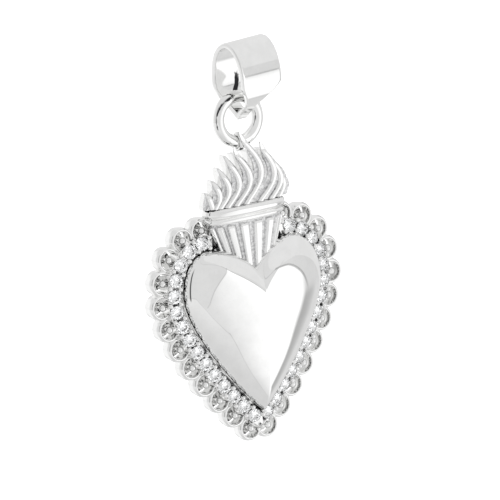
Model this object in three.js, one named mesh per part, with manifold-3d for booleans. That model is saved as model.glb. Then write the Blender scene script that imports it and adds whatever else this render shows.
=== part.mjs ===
// A sacred-heart pendant in polished silver, hung from a jump ring and a strap bail.
//
// A puffed heart sits in a rail of small round stones, with a scalloped border of open arches
// outside it. A ribbed basket, a banded crown and a plate of wavy flames rise from the cleft of
// the heart, and a small loop behind the tallest flame holds the jump ring.
//
// Sizes are millimetres. Inside the model a point is given as (across, forward, up), with up
// measured from the level of the two lowest border beads; at() turns it into x, y and z with
// the front of the pendant facing -y. The whole model is then placed so that its origin is the
// point inside the top of the bail where the chain bears.

import * as THREE from "three";
import { mergeVertices } from "three/addons/utils/BufferGeometryUtils.js";
import Module from "manifold-3d";

const wasm = await Module();
wasm.setup();

// Fits between neighbouring pieces
const SOLDER_GAP = 0.035; // between pieces that are joined face to face
const SEAT_CLEARANCE = 0.025; // round each stone in its seat

// Border line, which runs through the beads from the lowest point up one side to the crown
const BORDER_BOTTOM = -0.54;
const BOTTOM_HANDLE_ACROSS = 1.6;
const BOTTOM_HANDLE_UP = 0.7;
const BORDER_HALF_WIDTH = 7.92;
const SIDE_HANDLE = 3.9;
const LOBE_CENTRE_UP = 11.41;
const LOBE_RADIUS_ACROSS = 4.05;
const LOBE_RADIUS_UP = 5.05;
const LOBE_END_ANGLE = THREE.MathUtils.degToRad(105);
const BORDER_STEPS = 240;

// Scalloped rim of open arches, and the ball-topped post that stands in each
const ARCHES_PER_SIDE = 12;
const ARCH_OUTER_RADIUS = 1.03;
const ARCH_WALL = 0.26;
const ARCH_DRAFT = 0.05; // the wall is this much thicker at the back
const ARCH_TOP_FORWARD = 0.02;
const BACK_FORWARD = -1.15; // the plane of the back
const ARCH_SIDES = 12;
const BEAD_RADIUS = 0.3;
const BEAD_FORWARD = -0.08;
const BEAD_SIDES = 6;
const POST_RADIUS = 0.17;
const POST_FOOT_RADIUS = 0.68;

// Rail that carries the stones
const RAIL_INSET = 0.9; // from the border line to the middle of the rail
const RAIL_HALF_WIDTH = 0.5;
const RAIL_TILT = THREE.MathUtils.degToRad(14.5);
const RAIL_DRAFT = 0.05;
const GIRDLE_FORWARD = 0.46; // the girdle of the stones, at the middle of the rail
const GIRDLE_STAND = 0.12; // girdle above the top of the rail
const RAIL_STEPS = 24;
const LEDGE_THICKNESS = 0.35; // of the ledge that closes the channel between rail and heart
const RAIL_WALL = 0.25;
const RAIL_CEILING_FORWARD = 0.1; // the rail is hollow up to here, so the seats open to the back

// Round brilliant stones and the prongs that they share
const FIRST_STONE = 0.86; // along the rail from the middle of the pendant
const STONE_PITCH = 1.275;
const LAST_STONE_ROOM = 0.75; // along the rail, from the last stone to the rail's end
const STONE_DIAMETER = 1.12;
const STONE_FACETS = 8;
const STONE_TABLE_SHARE = 0.56;
const STONE_STAR_SHARE = 0.8;
const STONE_CROWN = 0.17;
const STONE_PAVILION = 0.47;
const PRONG_OFFSET = 0.42; // from the middle of the rail
const TIP_PRONG_OFFSET = 0.62; // of the inner prong over the lowest point of the rail
const PRONG_RADIUS = 0.13;
const PRONG_ROOT = 0.15; // of a prong in the rail
const PRONG_HEAD_RADIUS = 0.2;
const PRONG_HEAD_RISE = 0.31; // top of the head above the girdle
const PRONG_SIDES = 5;
const SEAT_SIDES = 8;

// Puffed heart, a hollow shell open at the back
const CHANNEL_WIDTH = 0.54; // between the rail and the foot of the heart
const LOBE_RISE = 0.34; // of the lobes' tops beyond an even channel
const HEART_CLEFT_UP = 12.85;
const CLEFT_HANDLE_ACROSS = 0.95;
const CLEFT_HANDLE_UP = 1.15;
const LOBE_HANDLE = 1.35;
const HEART_CENTRE_UP = 9.3;
const HEART_SHOULDER_FORWARD = 1.05; // where the upright skirt turns into the dome
const HEART_CREST_FORWARD = 2.9;
const HEART_BACK_FORWARD = -1.0;
const HEART_WALL = 0.5;
const HEART_ROUND_ACROSS = 3.9;
const HEART_ROUND_UP = 4.6;
const HEART_OUTLINE_STEPS = 21;

// Crown: a ribbed basket, a double band and the flames
const CROWN_BACK_FORWARD = 0.06;
const BASKET_BOTTOM_UP = 12.6;
const BASKET_BOTTOM_HALF_WIDTH = 1.6;
const BASKET_BOTTOM_DEPTH = 1.1;
const BASKET_RIBS = 8;
const RIB_HEIGHT = 0.3;
const RIB_SHARPNESS = 2.6;
const CROWN_HALF_WIDTH = 3.2;
const CROWN_DEPTH = 1.2;
const CROWN_SQUARENESS = 0.5; // 1 is an ellipse, and less is squarer at the sides
const BAND_BOTTOM_UP = 16.85;
const LOWER_STRAND_HEIGHT = 0.46;
const UPPER_STRAND_HEIGHT = 0.84;
const LOWER_STRAND_BULGE = 0.34;
const UPPER_STRAND_BULGE = 0.46;
const STRAND_GROOVE = 0.16;
const STRAND_STEPS = 5;
const PLATE_RISE = 0.45; // of the plate behind the crown, above the band's lower edge
const PLATE_LAP = 0.25; // of the plate behind the crown over the ends of the rail

const LEFT_TONGUES = 5; // besides the tallest, which stands a little left of the middle
const RIGHT_TONGUES = 4;
const APEX_ANGLE = THREE.MathUtils.degToRad(-6); // of the tallest, round the crown
const FLAME_APEX_UP = 23.95;
const FLAME_APEX_ACROSS = -0.35;
const FLAME_SHOULDER_UP = 19.5; // tip of the outermost tongue
const FLAME_HALF_WIDTH = 3.15;
const LEFT_TIP_REACH = 3.5;
const RIGHT_TIP_REACH = 3.35;
const FLAME_EDGE_DEPTH = 1.1;
const FLAME_DEPTH = 1.6;
const FLAME_SWAY = 1.6;
const TONGUE_WIDTH = 1.5;
const TONGUE_TIP_WIDTH = 0.2;
const RIDGE_HEIGHT = 0.34;
const RIDGE_WIDTH = 0.36; // at its foot, and half of this on top
const TONGUE_STEPS = 8;

// Loop behind the flames, jump ring and bail
const LOOP_HOLE_RADIUS = 0.52;
const LOOP_WIRE = 0.24;
const RING_WIRE = 0.95;
const RING_RADIUS = 1.8; // to the middle of the wire
const RING_FORWARD = 0.45;
const RING_DROP = 0.95; // of the wire where the loop holds it, below the flames' apex
const RING_LEAN = THREE.MathUtils.degToRad(4.8); // of the ring to the right, over the loop

const BAIL_OFFSET = 0.4; // of the fold, to the right from the middle of the ring
const BAIL_SKEW = 0.85; // of the strap, to the right of its fold
const BAIL_YAW = THREE.MathUtils.degToRad(12);
const BAIL_THICKNESS = 0.42;
const BAIL_EDGE = 0.1;
const BAIL_FOOT_HALF_ANGLE = THREE.MathUtils.degToRad(47);
const BAIL_RING_CLEARANCE = 0.48;
const BAIL_LEG = 1.25;
const BAIL_HALF_DEPTH = 1.6;
const BAIL_WIDEST_UP = 3.0;
const BAIL_HEIGHT = 5.72; // of the middle of the strap, above its fold
const BAIL_FOOT_WIDTH = 1.15;
const BAIL_TOP_WIDTH = 4.2;
const BAIL_FLARE_START = 0.7;
const BAIL_FLARE_END = 2.6;
const BAIL_STEPS = 18;

// Materials
const polished = new THREE.MeshStandardMaterial({ color: 0xe4e6e8, metalness: 1, roughness: 0.08 });
const satin = new THREE.MeshStandardMaterial({ color: 0xcfd1d3, metalness: 1, roughness: 0.34 });
const zirconia = new THREE.MeshStandardMaterial({ color: 0xf4f7fa, metalness: 0, roughness: 0.02 });

// A point of the model from its place across, forward and up.
const at = (across, forward, up) => new THREE.Vector3(across, -forward, up);

// Turns a shape that was revolved about y so that its y points forward.
const facingForward = (geometry) => geometry.rotateX(Math.PI);

function signedVolume(points, index) {
  let sum = 0;
  for (let i = 0; i < index.length; i += 3) {
    const [a, b, c] = [points[index[i]], points[index[i + 1]], points[index[i + 2]]];
    sum += a.dot(new THREE.Vector3().crossVectors(b, c)) / 6;
  }
  return sum;
}

// A closed surface from its points and triangles, with the faces turned out.
function closedSurface(points, index) {
  const facing = signedVolume(points, index) < 0 ? index.toReversed() : index;
  return new THREE.BufferGeometry().setFromPoints(points).setIndex(facing);
}

// Triangles that fill one flat ring of points, as offsets into that ring.
function capTriangles(ring) {
  const normal = new THREE.Vector3();
  ring.forEach((p, i) => normal.add(new THREE.Vector3().crossVectors(p, ring[(i + 1) % ring.length])));
  const size = new THREE.Vector3(Math.abs(normal.x), Math.abs(normal.y), Math.abs(normal.z));
  const flat = ring.map((p) => {
    if (size.x >= size.y && size.x >= size.z) return new THREE.Vector2(p.y, p.z);
    if (size.y >= size.z) return new THREE.Vector2(p.z, p.x);
    return new THREE.Vector2(p.x, p.y);
  });
  const triangles = THREE.ShapeUtils.triangulateShape(flat, []);
  const clockwise = THREE.ShapeUtils.isClockWise(flat);
  return triangles.map(([a, b, c]) => {
    const turn = flat[b].clone().sub(flat[a]).cross(flat[c].clone().sub(flat[a]));
    return turn < 0 === clockwise ? [a, b, c] : [a, c, b];
  });
}

// Joins rings of equal length into one closed surface, capped at its two ends unless the last
// ring leads back to the first.
function loft(rings, closed = false) {
  const count = rings[0].length;
  const index = [];
  const spans = closed ? rings.length : rings.length - 1;
  for (let i = 0; i < spans; i++) {
    const here = i * count;
    const next = ((i + 1) % rings.length) * count;
    for (let j = 0; j < count; j++) {
      const k = (j + 1) % count;
      index.push(here + j, here + k, next + k, here + j, next + k, next + j);
    }
  }
  if (!closed) {
    const last = (rings.length - 1) * count;
    capTriangles(rings[0]).forEach(([a, b, c]) => index.push(a, c, b));
    capTriangles(rings.at(-1)).forEach(([a, b, c]) => index.push(last + a, last + b, last + c));
  }
  return closedSurface(rings.flat(), index);
}

// A prism of an outline given as (across, up), between two depths.
function prism(outline, backForward, frontForward) {
  return loft([backForward, frontForward].map((f) => outline.map((p) => at(p.x, f, p.y))));
}

// A closed geometry as a solid that can be joined and cut.
function solid(geometry) {
  const bare = new THREE.BufferGeometry();
  bare.setAttribute("position", geometry.getAttribute("position"));
  bare.setIndex(geometry.getIndex());
  const merged = mergeVertices(bare, 1e-5);
  const kept = [];
  const index = merged.index.array;
  for (let i = 0; i < index.length; i += 3) {
    const [a, b, c] = [index[i], index[i + 1], index[i + 2]];
    if (a !== b && b !== c && c !== a) kept.push(a, b, c);
  }
  const vertProperties = merged.attributes.position.array;
  const mesh = new wasm.Mesh({ numProp: 3, vertProperties, triVerts: new Uint32Array(kept) });
  return new wasm.Manifold(mesh);
}

const joined = (solids) => wasm.Manifold.union(solids);

function geometryOf(made) {
  const mesh = made.getMesh();
  const geometry = new THREE.BufferGeometry();
  geometry.setAttribute("position", new THREE.BufferAttribute(mesh.vertProperties, 3));
  geometry.setIndex(new THREE.BufferAttribute(mesh.triVerts, 1));
  geometry.computeVertexNormals();
  return geometry;
}

// The border line and the lines that run beside it

const borderPath = new THREE.Path();
borderPath.moveTo(0, BORDER_BOTTOM);
borderPath.bezierCurveTo(
  BOTTOM_HANDLE_ACROSS,
  BORDER_BOTTOM + BOTTOM_HANDLE_UP,
  BORDER_HALF_WIDTH,
  LOBE_CENTRE_UP - SIDE_HANDLE,
  BORDER_HALF_WIDTH,
  LOBE_CENTRE_UP,
);
borderPath.absellipse(
  BORDER_HALF_WIDTH - LOBE_RADIUS_ACROSS,
  LOBE_CENTRE_UP,
  LOBE_RADIUS_ACROSS,
  LOBE_RADIUS_UP,
  0,
  LOBE_END_ANGLE,
  false,
  0,
);
const borderPoints = borderPath.getSpacedPoints(BORDER_STEPS);

// The right-hand line that lies a distance inside the border line. It starts on the middle of
// the pendant, where the two sides meet.
function lineInside(inset) {
  const last = borderPoints.length - 1;
  const moved = borderPoints.map((p, i) => {
    const before = borderPoints[Math.max(i - 1, 0)];
    const after = borderPoints[Math.min(i + 1, last)];
    const along = after.clone().sub(before).normalize();
    return new THREE.Vector2(p.x - along.y * inset, p.y + along.x * inset);
  });
  moved[0].x = 0;
  const crossing = moved.findLastIndex((p) => p.x <= 0);
  const [low, high] = [moved[crossing], moved[crossing + 1]];
  const start = low.clone().lerp(high, -low.x / (high.x - low.x));
  start.x = 0;
  return [start, ...moved.slice(crossing + 1)];
}

const lengthOf = (line) =>
  line.reduce((sum, p, i) => sum + (i ? p.distanceTo(line[i - 1]) : 0), 0);

// The point and direction at a share of a line's length.
function placeOn(line, share) {
  const lengths = [0];
  for (let i = 1; i < line.length; i++) lengths.push(lengths[i - 1] + line[i].distanceTo(line[i - 1]));
  const wanted = share * lengths.at(-1);
  const i = Math.min(Math.max(lengths.findIndex((l) => l >= wanted), 1), line.length - 1);
  const [from, to] = [line[i - 1], line[i]];
  const point = from.clone().lerp(to, (wanted - lengths[i - 1]) / (lengths[i] - lengths[i - 1]));
  return { point, along: to.clone().sub(from).normalize() };
}

// A closed outline from a right-hand line and its mirror image.
function mirroredOutline(line) {
  const left = line.filter((p) => p.x > 1e-6).map((p) => new THREE.Vector2(-p.x, p.y));
  return [...line, ...left.reverse()];
}

// A solid that follows the border all round, from a section of [inset, forward] corners.
function followBorder(section, steps) {
  const lines = section.map(([inset]) => lineInside(inset));
  const rings = [];
  for (let i = -steps; i <= steps; i++) {
    rings.push(
      section.map(([, forward], j) => {
        const { point } = placeOn(lines[j], Math.abs(i) / steps);
        return at(Math.sign(i) * point.x, forward, point.y);
      }),
    );
  }
  return solid(loft(rings));
}

// Scalloped rim

const RAIL_OUTER_INSET = RAIL_INSET - RAIL_HALF_WIDTH;
const RAIL_INNER_INSET = RAIL_INSET + RAIL_HALF_WIDTH;
const HEART_INSET = RAIL_INNER_INSET + CHANNEL_WIDTH;
const borderLine = lineInside(0);

function eachArch(make) {
  const made = [];
  for (const side of [-1, 1]) {
    for (let i = 0; i < ARCHES_PER_SIDE; i++) {
      const { point } = placeOn(borderLine, (i + 0.5) / ARCHES_PER_SIDE);
      made.push(make().translate(side * point.x, 0, point.y));
    }
  }
  return made.map(solid);
}

function archRing() {
  const inner = ARCH_OUTER_RADIUS - ARCH_WALL;
  const middle = ARCH_OUTER_RADIUS - ARCH_WALL / 2;
  const shoulder = ARCH_TOP_FORWARD - ARCH_WALL / 3;
  const profile = [
    [inner, BACK_FORWARD],
    [ARCH_OUTER_RADIUS + ARCH_DRAFT, BACK_FORWARD],
    [ARCH_OUTER_RADIUS, shoulder],
    [middle, ARCH_TOP_FORWARD],
    [inner, shoulder],
    [inner, BACK_FORWARD],
  ].map(([r, y]) => new THREE.Vector2(r, y));
  return facingForward(new THREE.LatheGeometry(profile, ARCH_SIDES));
}

function beadPost() {
  const foot = BACK_FORWARD + LEDGE_THICKNESS;
  const profile = [
    [0, BACK_FORWARD],
    [POST_FOOT_RADIUS, BACK_FORWARD],
    [POST_RADIUS, foot],
    [BEAD_RADIUS, BEAD_FORWARD - BEAD_RADIUS * 0.4],
    [BEAD_RADIUS * 0.85, BEAD_FORWARD + BEAD_RADIUS * 0.5],
    [0, BEAD_FORWARD + BEAD_RADIUS],
  ].map(([r, y]) => new THREE.Vector2(r, y));
  return facingForward(new THREE.LatheGeometry(profile, BEAD_SIDES));
}

function scallopedRim() {
  const inside = lineInside(RAIL_OUTER_INSET - SOLDER_GAP);
  const end = inside.at(-1);
  const above = new THREE.Vector2(end.x, BAND_BOTTOM_UP + PLATE_RISE + ARCH_OUTER_RADIUS);
  const core = solid(prism(mirroredOutline([...inside, above]), BACK_FORWARD - 1, 1));
  return joined(eachArch(archRing)).subtract(core);
}

// Stones and the places they sit in

const railLine = lineInside(RAIL_INSET);
const railLength = lengthOf(railLine);
const STONE_ROOM = railLength - FIRST_STONE - LAST_STONE_ROOM;
const STONES_PER_SIDE = Math.floor(STONE_ROOM / STONE_PITCH) + 1;
const straightAcross = new THREE.Vector2(1, 0);

// The turned frame at a distance along the rail from the middle of the pendant: x runs outward
// across the rail and z is square to its top.
function railFrame(side, distance) {
  const { point, along: tangent } = placeOn(railLine, distance / railLength);
  const along = distance > 0 ? tangent : straightAcross;
  const outward = new THREE.Vector3(side * along.y, 0, -along.x);
  const forward = at(0, 1, 0);
  const normal = forward.clone().multiplyScalar(Math.cos(RAIL_TILT));
  normal.addScaledVector(outward, Math.sin(RAIL_TILT));
  const across = outward.clone().multiplyScalar(Math.cos(RAIL_TILT));
  across.addScaledVector(forward, -Math.sin(RAIL_TILT));
  const up = new THREE.Vector3().crossVectors(normal, across);
  const place = at(side * point.x, GIRDLE_FORWARD, point.y);
  return new THREE.Matrix4().makeBasis(across, up, normal).setPosition(place);
}

// A round brilliant: a table, 8 star, 8 kite and 16 upper girdle facets over the girdle, and 16
// plain ones under it, where its seat hides it.
function brilliant() {
  const radius = STONE_DIAMETER / 2;
  const table = radius * STONE_TABLE_SHARE;
  const star = radius * STONE_STAR_SHARE;
  const cosine = Math.cos(Math.PI / STONE_FACETS);
  const starHeight = (STONE_CROWN * (radius - star * cosine)) / (radius - table);
  const ring = (count, r, z, turn = 0) =>
    Array.from({ length: count }, (_, i) => {
      const angle = ((i + turn) * 2 * Math.PI) / count;
      return new THREE.Vector3(r * Math.cos(angle), r * Math.sin(angle), z);
    });
  const points = [
    ...ring(STONE_FACETS, table, STONE_CROWN),
    ...ring(STONE_FACETS, star, starHeight, 0.5),
    ...ring(2 * STONE_FACETS, radius, 0),
    new THREE.Vector3(0, 0, -STONE_PAVILION),
  ];
  const [TABLE, STAR, GIRDLE, CULET] = [0, 1, 2, 4].map((rings) => rings * STONE_FACETS);
  const index = [];
  for (let i = 1; i < STONE_FACETS - 1; i++) index.push(TABLE, TABLE + i, TABLE + i + 1);
  for (let i = 0; i < STONE_FACETS; i++) {
    const [table, star] = [TABLE + i, STAR + i];
    const corner = GIRDLE + 2 * i;
    const between = corner + 1;
    const after = GIRDLE + ((2 * i + 2) % (2 * STONE_FACETS));
    const starBefore = STAR + ((i + STONE_FACETS - 1) % STONE_FACETS);
    index.push(table, star, TABLE + ((i + 1) % STONE_FACETS));
    index.push(table, starBefore, corner, table, corner, star);
    index.push(star, corner, between, star, between, after);
    index.push(corner, CULET, between, between, CULET, after);
  }
  return closedSurface(points, index);
}

// The room that a stone needs: its own envelope with the seat clearance.
function stoneSeat() {
  const radius = STONE_DIAMETER / 2 + SEAT_CLEARANCE;
  const flats = radius / Math.cos(Math.PI / SEAT_SIDES);
  const profile = [
    [0, -STONE_PAVILION - SEAT_CLEARANCE * 2],
    [flats, -SEAT_CLEARANCE],
    [flats, SEAT_CLEARANCE],
    [0, STONE_CROWN * 2],
  ].map(([r, y]) => new THREE.Vector2(r, y));
  const cup = new THREE.LatheGeometry(profile, SEAT_SIDES).rotateX(Math.PI / 2);
  return cup.rotateZ(Math.PI / SEAT_SIDES);
}

function prong() {
  const profile = [
    [0, -GIRDLE_STAND - PRONG_ROOT],
    [PRONG_RADIUS, -GIRDLE_STAND - PRONG_ROOT],
    [PRONG_HEAD_RADIUS, PRONG_HEAD_RISE * 0.55],
    [0, PRONG_HEAD_RISE],
  ].map(([r, y]) => new THREE.Vector2(r, y));
  return new THREE.LatheGeometry(profile, PRONG_SIDES).rotateX(Math.PI / 2);
}

function stoneFrames() {
  const frames = [];
  for (const [side, word] of [[-1, "left"], [1, "right"]]) {
    for (let i = 0; i < STONES_PER_SIDE; i++) {
      const name = `stone_${word}_${String(i + 1).padStart(2, "0")}`;
      frames.push({ name, frame: railFrame(side, FIRST_STONE + i * STONE_PITCH) });
    }
  }
  return frames;
}

// Stone rail: the rail, the ledge behind the channel, the plate behind the crown, the posts of
// the border beads and the shared prongs

function railTopForward(inset) {
  return GIRDLE_FORWARD - GIRDLE_STAND + (inset - RAIL_INSET) * Math.tan(RAIL_TILT);
}

function stoneRail() {
  const ledgeTop = BACK_FORWARD + LEDGE_THICKNESS;
  const ledgeInset = HEART_INSET - SOLDER_GAP;
  const rail = followBorder(
    [
      [RAIL_OUTER_INSET, railTopForward(RAIL_OUTER_INSET)],
      [RAIL_OUTER_INSET + RAIL_DRAFT, BACK_FORWARD],
      [RAIL_OUTER_INSET + RAIL_WALL, BACK_FORWARD],
      [RAIL_OUTER_INSET + RAIL_WALL, RAIL_CEILING_FORWARD],
      [RAIL_INNER_INSET - RAIL_WALL, RAIL_CEILING_FORWARD],
      [RAIL_INNER_INSET - RAIL_WALL, BACK_FORWARD],
      [ledgeInset, BACK_FORWARD],
      [ledgeInset, ledgeTop],
      [RAIL_INNER_INSET - RAIL_DRAFT, ledgeTop],
      [RAIL_INNER_INSET, railTopForward(RAIL_INNER_INSET)],
    ],
    RAIL_STEPS,
  );
  const prongs = [];
  const addProng = (frame, offset) => {
    prongs.push(solid(prong().translate(offset, 0, 0).applyMatrix4(frame)));
  };
  addProng(railFrame(1, 0), PRONG_OFFSET);
  addProng(railFrame(1, 0), -TIP_PRONG_OFFSET);
  for (let i = 0; i < STONES_PER_SIDE; i++) {
    for (const side of [-1, 1]) {
      const frame = railFrame(side, FIRST_STONE + (i + 0.5) * STONE_PITCH);
      addProng(frame, PRONG_OFFSET);
      addProng(frame, -PRONG_OFFSET);
    }
  }
  const seats = stoneFrames().map(({ frame }) => solid(stoneSeat().applyMatrix4(frame)));
  const heart = prism(heartOutline(HEART_INSET - SOLDER_GAP), BACK_FORWARD - 1, HEART_CREST_FORWARD);
  const body = joined([rail, seatPlate(), ...prongs, ...eachArch(beadPost)]);
  return body.subtract(joined([solid(heart), ...seats]));
}

// The plate behind the crown, which joins the two ends of the rail over the cleft.
function seatPlate() {
  const ledgeEnd = lineInside(HEART_INSET - SOLDER_GAP).at(-1);
  const sideEnd = lineInside(RAIL_OUTER_INSET).at(-1);
  const top = BAND_BOTTOM_UP + PLATE_RISE;
  const outline = [
    new THREE.Vector2(0, HEART_CLEFT_UP),
    new THREE.Vector2(ledgeEnd.x + PLATE_LAP, HEART_CLEFT_UP),
    new THREE.Vector2(ledgeEnd.x + PLATE_LAP, ledgeEnd.y),
    new THREE.Vector2(sideEnd.x - SOLDER_GAP, sideEnd.y),
    new THREE.Vector2(sideEnd.x - SOLDER_GAP, top),
    new THREE.Vector2(0, top),
  ];
  return solid(prism(mirroredOutline(outline), BACK_FORWARD, CROWN_BACK_FORWARD - SOLDER_GAP));
}

// Puffed heart

// The heart's outline at an inset from the border line, from its tip round to its tip again.
function heartOutline(inset) {
  const side = lineInside(inset).map((p) => {
    const share = THREE.MathUtils.smoothstep(p.y, HEART_CENTRE_UP, LOBE_CENTRE_UP + LOBE_RADIUS_UP);
    return new THREE.Vector2(p.x, p.y + LOBE_RISE * share);
  });
  const top = side.reduce((a, b) => (b.y > a.y ? b : a));
  const outer = side.slice(0, side.indexOf(top) + 1);
  const deeper = inset - HEART_INSET;
  const lobe = new THREE.CubicBezierCurve(
    top,
    new THREE.Vector2(top.x - LOBE_HANDLE, top.y),
    new THREE.Vector2(CLEFT_HANDLE_ACROSS, HEART_CLEFT_UP + CLEFT_HANDLE_UP - deeper),
    new THREE.Vector2(0, HEART_CLEFT_UP - deeper),
  );
  const whole = [...outer, ...lobe.getPoints(HEART_OUTLINE_STEPS).slice(1)];
  const even = [];
  for (let i = 0; i <= HEART_OUTLINE_STEPS; i++) {
    even.push(placeOn(whole, i / HEART_OUTLINE_STEPS).point);
  }
  even.at(-1).x = 0;
  return mirroredOutline(even);
}

// Rings of a dome over an outline. They close in on the middle of the heart and round off as
// they rise, so that the cleft fades out towards the crest.
function domeRings(outline, shoulder, crest, shares) {
  return shares.map((share) => {
    const rise = Math.sqrt(1 - share ** 2.3);
    const sharp = THREE.MathUtils.smoothstep(share, 0.1, 1);
    return outline.map((p) => {
      const angle = Math.atan2((p.y - HEART_CENTRE_UP) / HEART_ROUND_UP, p.x / HEART_ROUND_ACROSS);
      const across = HEART_ROUND_ACROSS * Math.cos(angle) * (1 - sharp) + p.x * sharp;
      const round = HEART_ROUND_UP * Math.sin(angle) * (1 - sharp);
      const up = round + (p.y - HEART_CENTRE_UP) * sharp;
      const forward = shoulder + (crest - shoulder) * rise;
      return at(share * across, forward, HEART_CENTRE_UP + share * up);
    });
  });
}

function heartDome() {
  const outer = heartOutline(HEART_INSET);
  const inner = heartOutline(HEART_INSET + HEART_WALL);
  const shares = [1, 0.985, 0.95, 0.89, 0.8, 0.68, 0.52, 0.34, 0.15];
  const innerShares = [0.2, 0.55, 0.8, 0.95, 1];
  const flat = (outline, forward) => outline.map((p) => at(p.x, forward, p.y));
  const skin = domeRings(outer, HEART_SHOULDER_FORWARD, HEART_CREST_FORWARD, shares);
  const lining = domeRings(
    inner,
    HEART_SHOULDER_FORWARD,
    HEART_CREST_FORWARD - HEART_WALL,
    innerShares,
  );
  const shell = solid(loft([flat(outer, HEART_BACK_FORWARD), ...skin]));
  const hollow = solid(loft([...lining, flat(inner, HEART_BACK_FORWARD - 1)]));
  return shell.subtract(hollow);
}

// Crown

// A flat-backed section of the crown: half an ellipse forward of its back.
function crownSection(halfWidth, depth, up, bulge, ribs = 0) {
  const steps = ribs ? ribs * 6 : 18;
  const ring = [];
  for (let i = 0; i <= steps; i++) {
    const angle = -Math.PI / 2 + (i / steps) * Math.PI;
    const wave = Math.abs(Math.sin((i / steps) * ribs * Math.PI));
    const rib = ribs ? RIB_HEIGHT * wave ** RIB_SHARPNESS : 0;
    const out = bulge + rib;
    const across = (halfWidth + out) * Math.sin(angle);
    const forward = (depth + out) * Math.max(Math.cos(angle), 0) ** CROWN_SQUARENESS;
    ring.push(at(across, CROWN_BACK_FORWARD + forward, up));
  }
  return ring;
}

const BAND_TOP_UP = BAND_BOTTOM_UP + LOWER_STRAND_HEIGHT + UPPER_STRAND_HEIGHT;
const RING_SEAT_UP = FLAME_APEX_UP - RING_DROP;
const RING_ACROSS = RING_RADIUS * Math.sin(RING_LEAN);
const RING_UP = RING_SEAT_UP + RING_RADIUS * Math.cos(RING_LEAN);

function crownBasket() {
  const top = BAND_BOTTOM_UP - SOLDER_GAP;
  const rings = [];
  for (let i = 0; i <= 4; i++) {
    const share = i / 4;
    const halfWidth = THREE.MathUtils.lerp(BASKET_BOTTOM_HALF_WIDTH, CROWN_HALF_WIDTH, share);
    const depth = THREE.MathUtils.lerp(BASKET_BOTTOM_DEPTH, CROWN_DEPTH, share);
    const up = THREE.MathUtils.lerp(BASKET_BOTTOM_UP, top, share);
    rings.push(crownSection(halfWidth, depth, up, 0, BASKET_RIBS));
  }
  const room = solid(prism(heartOutline(HEART_INSET - SOLDER_GAP), -2, HEART_CREST_FORWARD));
  return solid(loft(rings)).subtract(room);
}

function crownBand() {
  const rings = [];
  const strand = (bottom, height, bulge) => {
    for (let i = 0; i <= STRAND_STEPS; i++) {
      const share = i / STRAND_STEPS;
      const out = STRAND_GROOVE + (bulge - STRAND_GROOVE) * Math.sqrt(Math.sin(share * Math.PI));
      rings.push(crownSection(CROWN_HALF_WIDTH, CROWN_DEPTH, bottom + share * height, out));
    }
  };
  strand(BAND_BOTTOM_UP, LOWER_STRAND_HEIGHT, LOWER_STRAND_BULGE);
  rings.pop();
  strand(BAND_BOTTOM_UP + LOWER_STRAND_HEIGHT, UPPER_STRAND_HEIGHT, UPPER_STRAND_BULGE);
  return solid(loft(rings));
}

// One flame: it rises from the band, sways to the right and comes back to a narrow tip, with a
// thin ridge up its middle. The number counts from the tallest, and is negative on its left.
function tongue(number) {
  const share = number < 0 ? -number / LEFT_TONGUES : number / RIGHT_TONGUES;
  const edge = (Math.sign(number) * Math.PI) / 2;
  const angle = THREE.MathUtils.lerp(APEX_ANGLE, edge, share);
  const reach = number < 0 ? -LEFT_TIP_REACH : RIGHT_TIP_REACH;
  const bottom = BAND_TOP_UP + SOLDER_GAP;
  const tip = THREE.MathUtils.lerp(FLAME_APEX_UP, FLAME_SHOULDER_UP, share);
  const from = FLAME_HALF_WIDTH * Math.sin(angle);
  const to = THREE.MathUtils.lerp(FLAME_APEX_ACROSS, reach, number < 0 ? share : Math.sqrt(share));
  const sway = FLAME_SWAY * (1 - share) ** 0.8;
  const front = CROWN_BACK_FORWARD + THREE.MathUtils.lerp(FLAME_EDGE_DEPTH, FLAME_DEPTH, Math.cos(angle));
  const rings = [];
  for (let i = 0; i <= TONGUE_STEPS; i++) {
    const rise = i / TONGUE_STEPS;
    const middle = THREE.MathUtils.lerp(from, to, rise) + sway * Math.sin(Math.PI * rise ** 0.8) ** 1.5;
    const half = THREE.MathUtils.lerp(TONGUE_WIDTH, TONGUE_TIP_WIDTH, rise ** 1.6) / 2;
    const foot = Math.min(RIDGE_WIDTH / 2, half * 0.8);
    const groove = front - THREE.MathUtils.lerp(RIDGE_HEIGHT, RIDGE_HEIGHT * 0.3, rise ** 2);
    const up = THREE.MathUtils.lerp(bottom, tip, rise);
    const section = [
      [half, CROWN_BACK_FORWARD],
      [half, groove],
      [foot, groove],
      [foot / 2, front],
    ];
    const left = section.map(([across, forward]) => at(middle - across, forward, up));
    const right = section.map(([across, forward]) => at(middle + across, forward, up));
    rings.push([...left, ...right.reverse()]);
  }
  return solid(loft(rings));
}

function flames() {
  const tongues = [];
  for (let i = -LEFT_TONGUES; i <= RIGHT_TONGUES; i++) tongues.push(tongue(i));
  const loopReach = LOOP_HOLE_RADIUS + LOOP_WIRE + SOLDER_GAP;
  const shelf = RING_SEAT_UP - loopReach;
  const wide = 2 * FLAME_HALF_WIDTH;
  const room = new THREE.BoxGeometry(2 * wide, wide, wide);
  room.translate(0, wide / 2 - (RING_FORWARD + loopReach), shelf + wide / 2);
  return joined(tongues).subtract(solid(room));
}

// Loop, jump ring and bail

function apexLoop() {
  const loop = new THREE.TorusGeometry(LOOP_HOLE_RADIUS + LOOP_WIRE / 2, LOOP_WIRE / 2, 6, 16);
  loop.scale(1, 1, 2).rotateY(Math.PI / 2);
  const { x, y, z } = at(0, RING_FORWARD, RING_SEAT_UP);
  return loop.translate(x, y, z);
}

function jumpRing() {
  const ring = new THREE.TorusGeometry(RING_RADIUS, RING_WIRE / 2, 9, 28);
  const { x, y, z } = at(RING_ACROSS, RING_FORWARD, RING_UP);
  return ring.rotateX(Math.PI / 2).translate(x, y, z);
}

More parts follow.
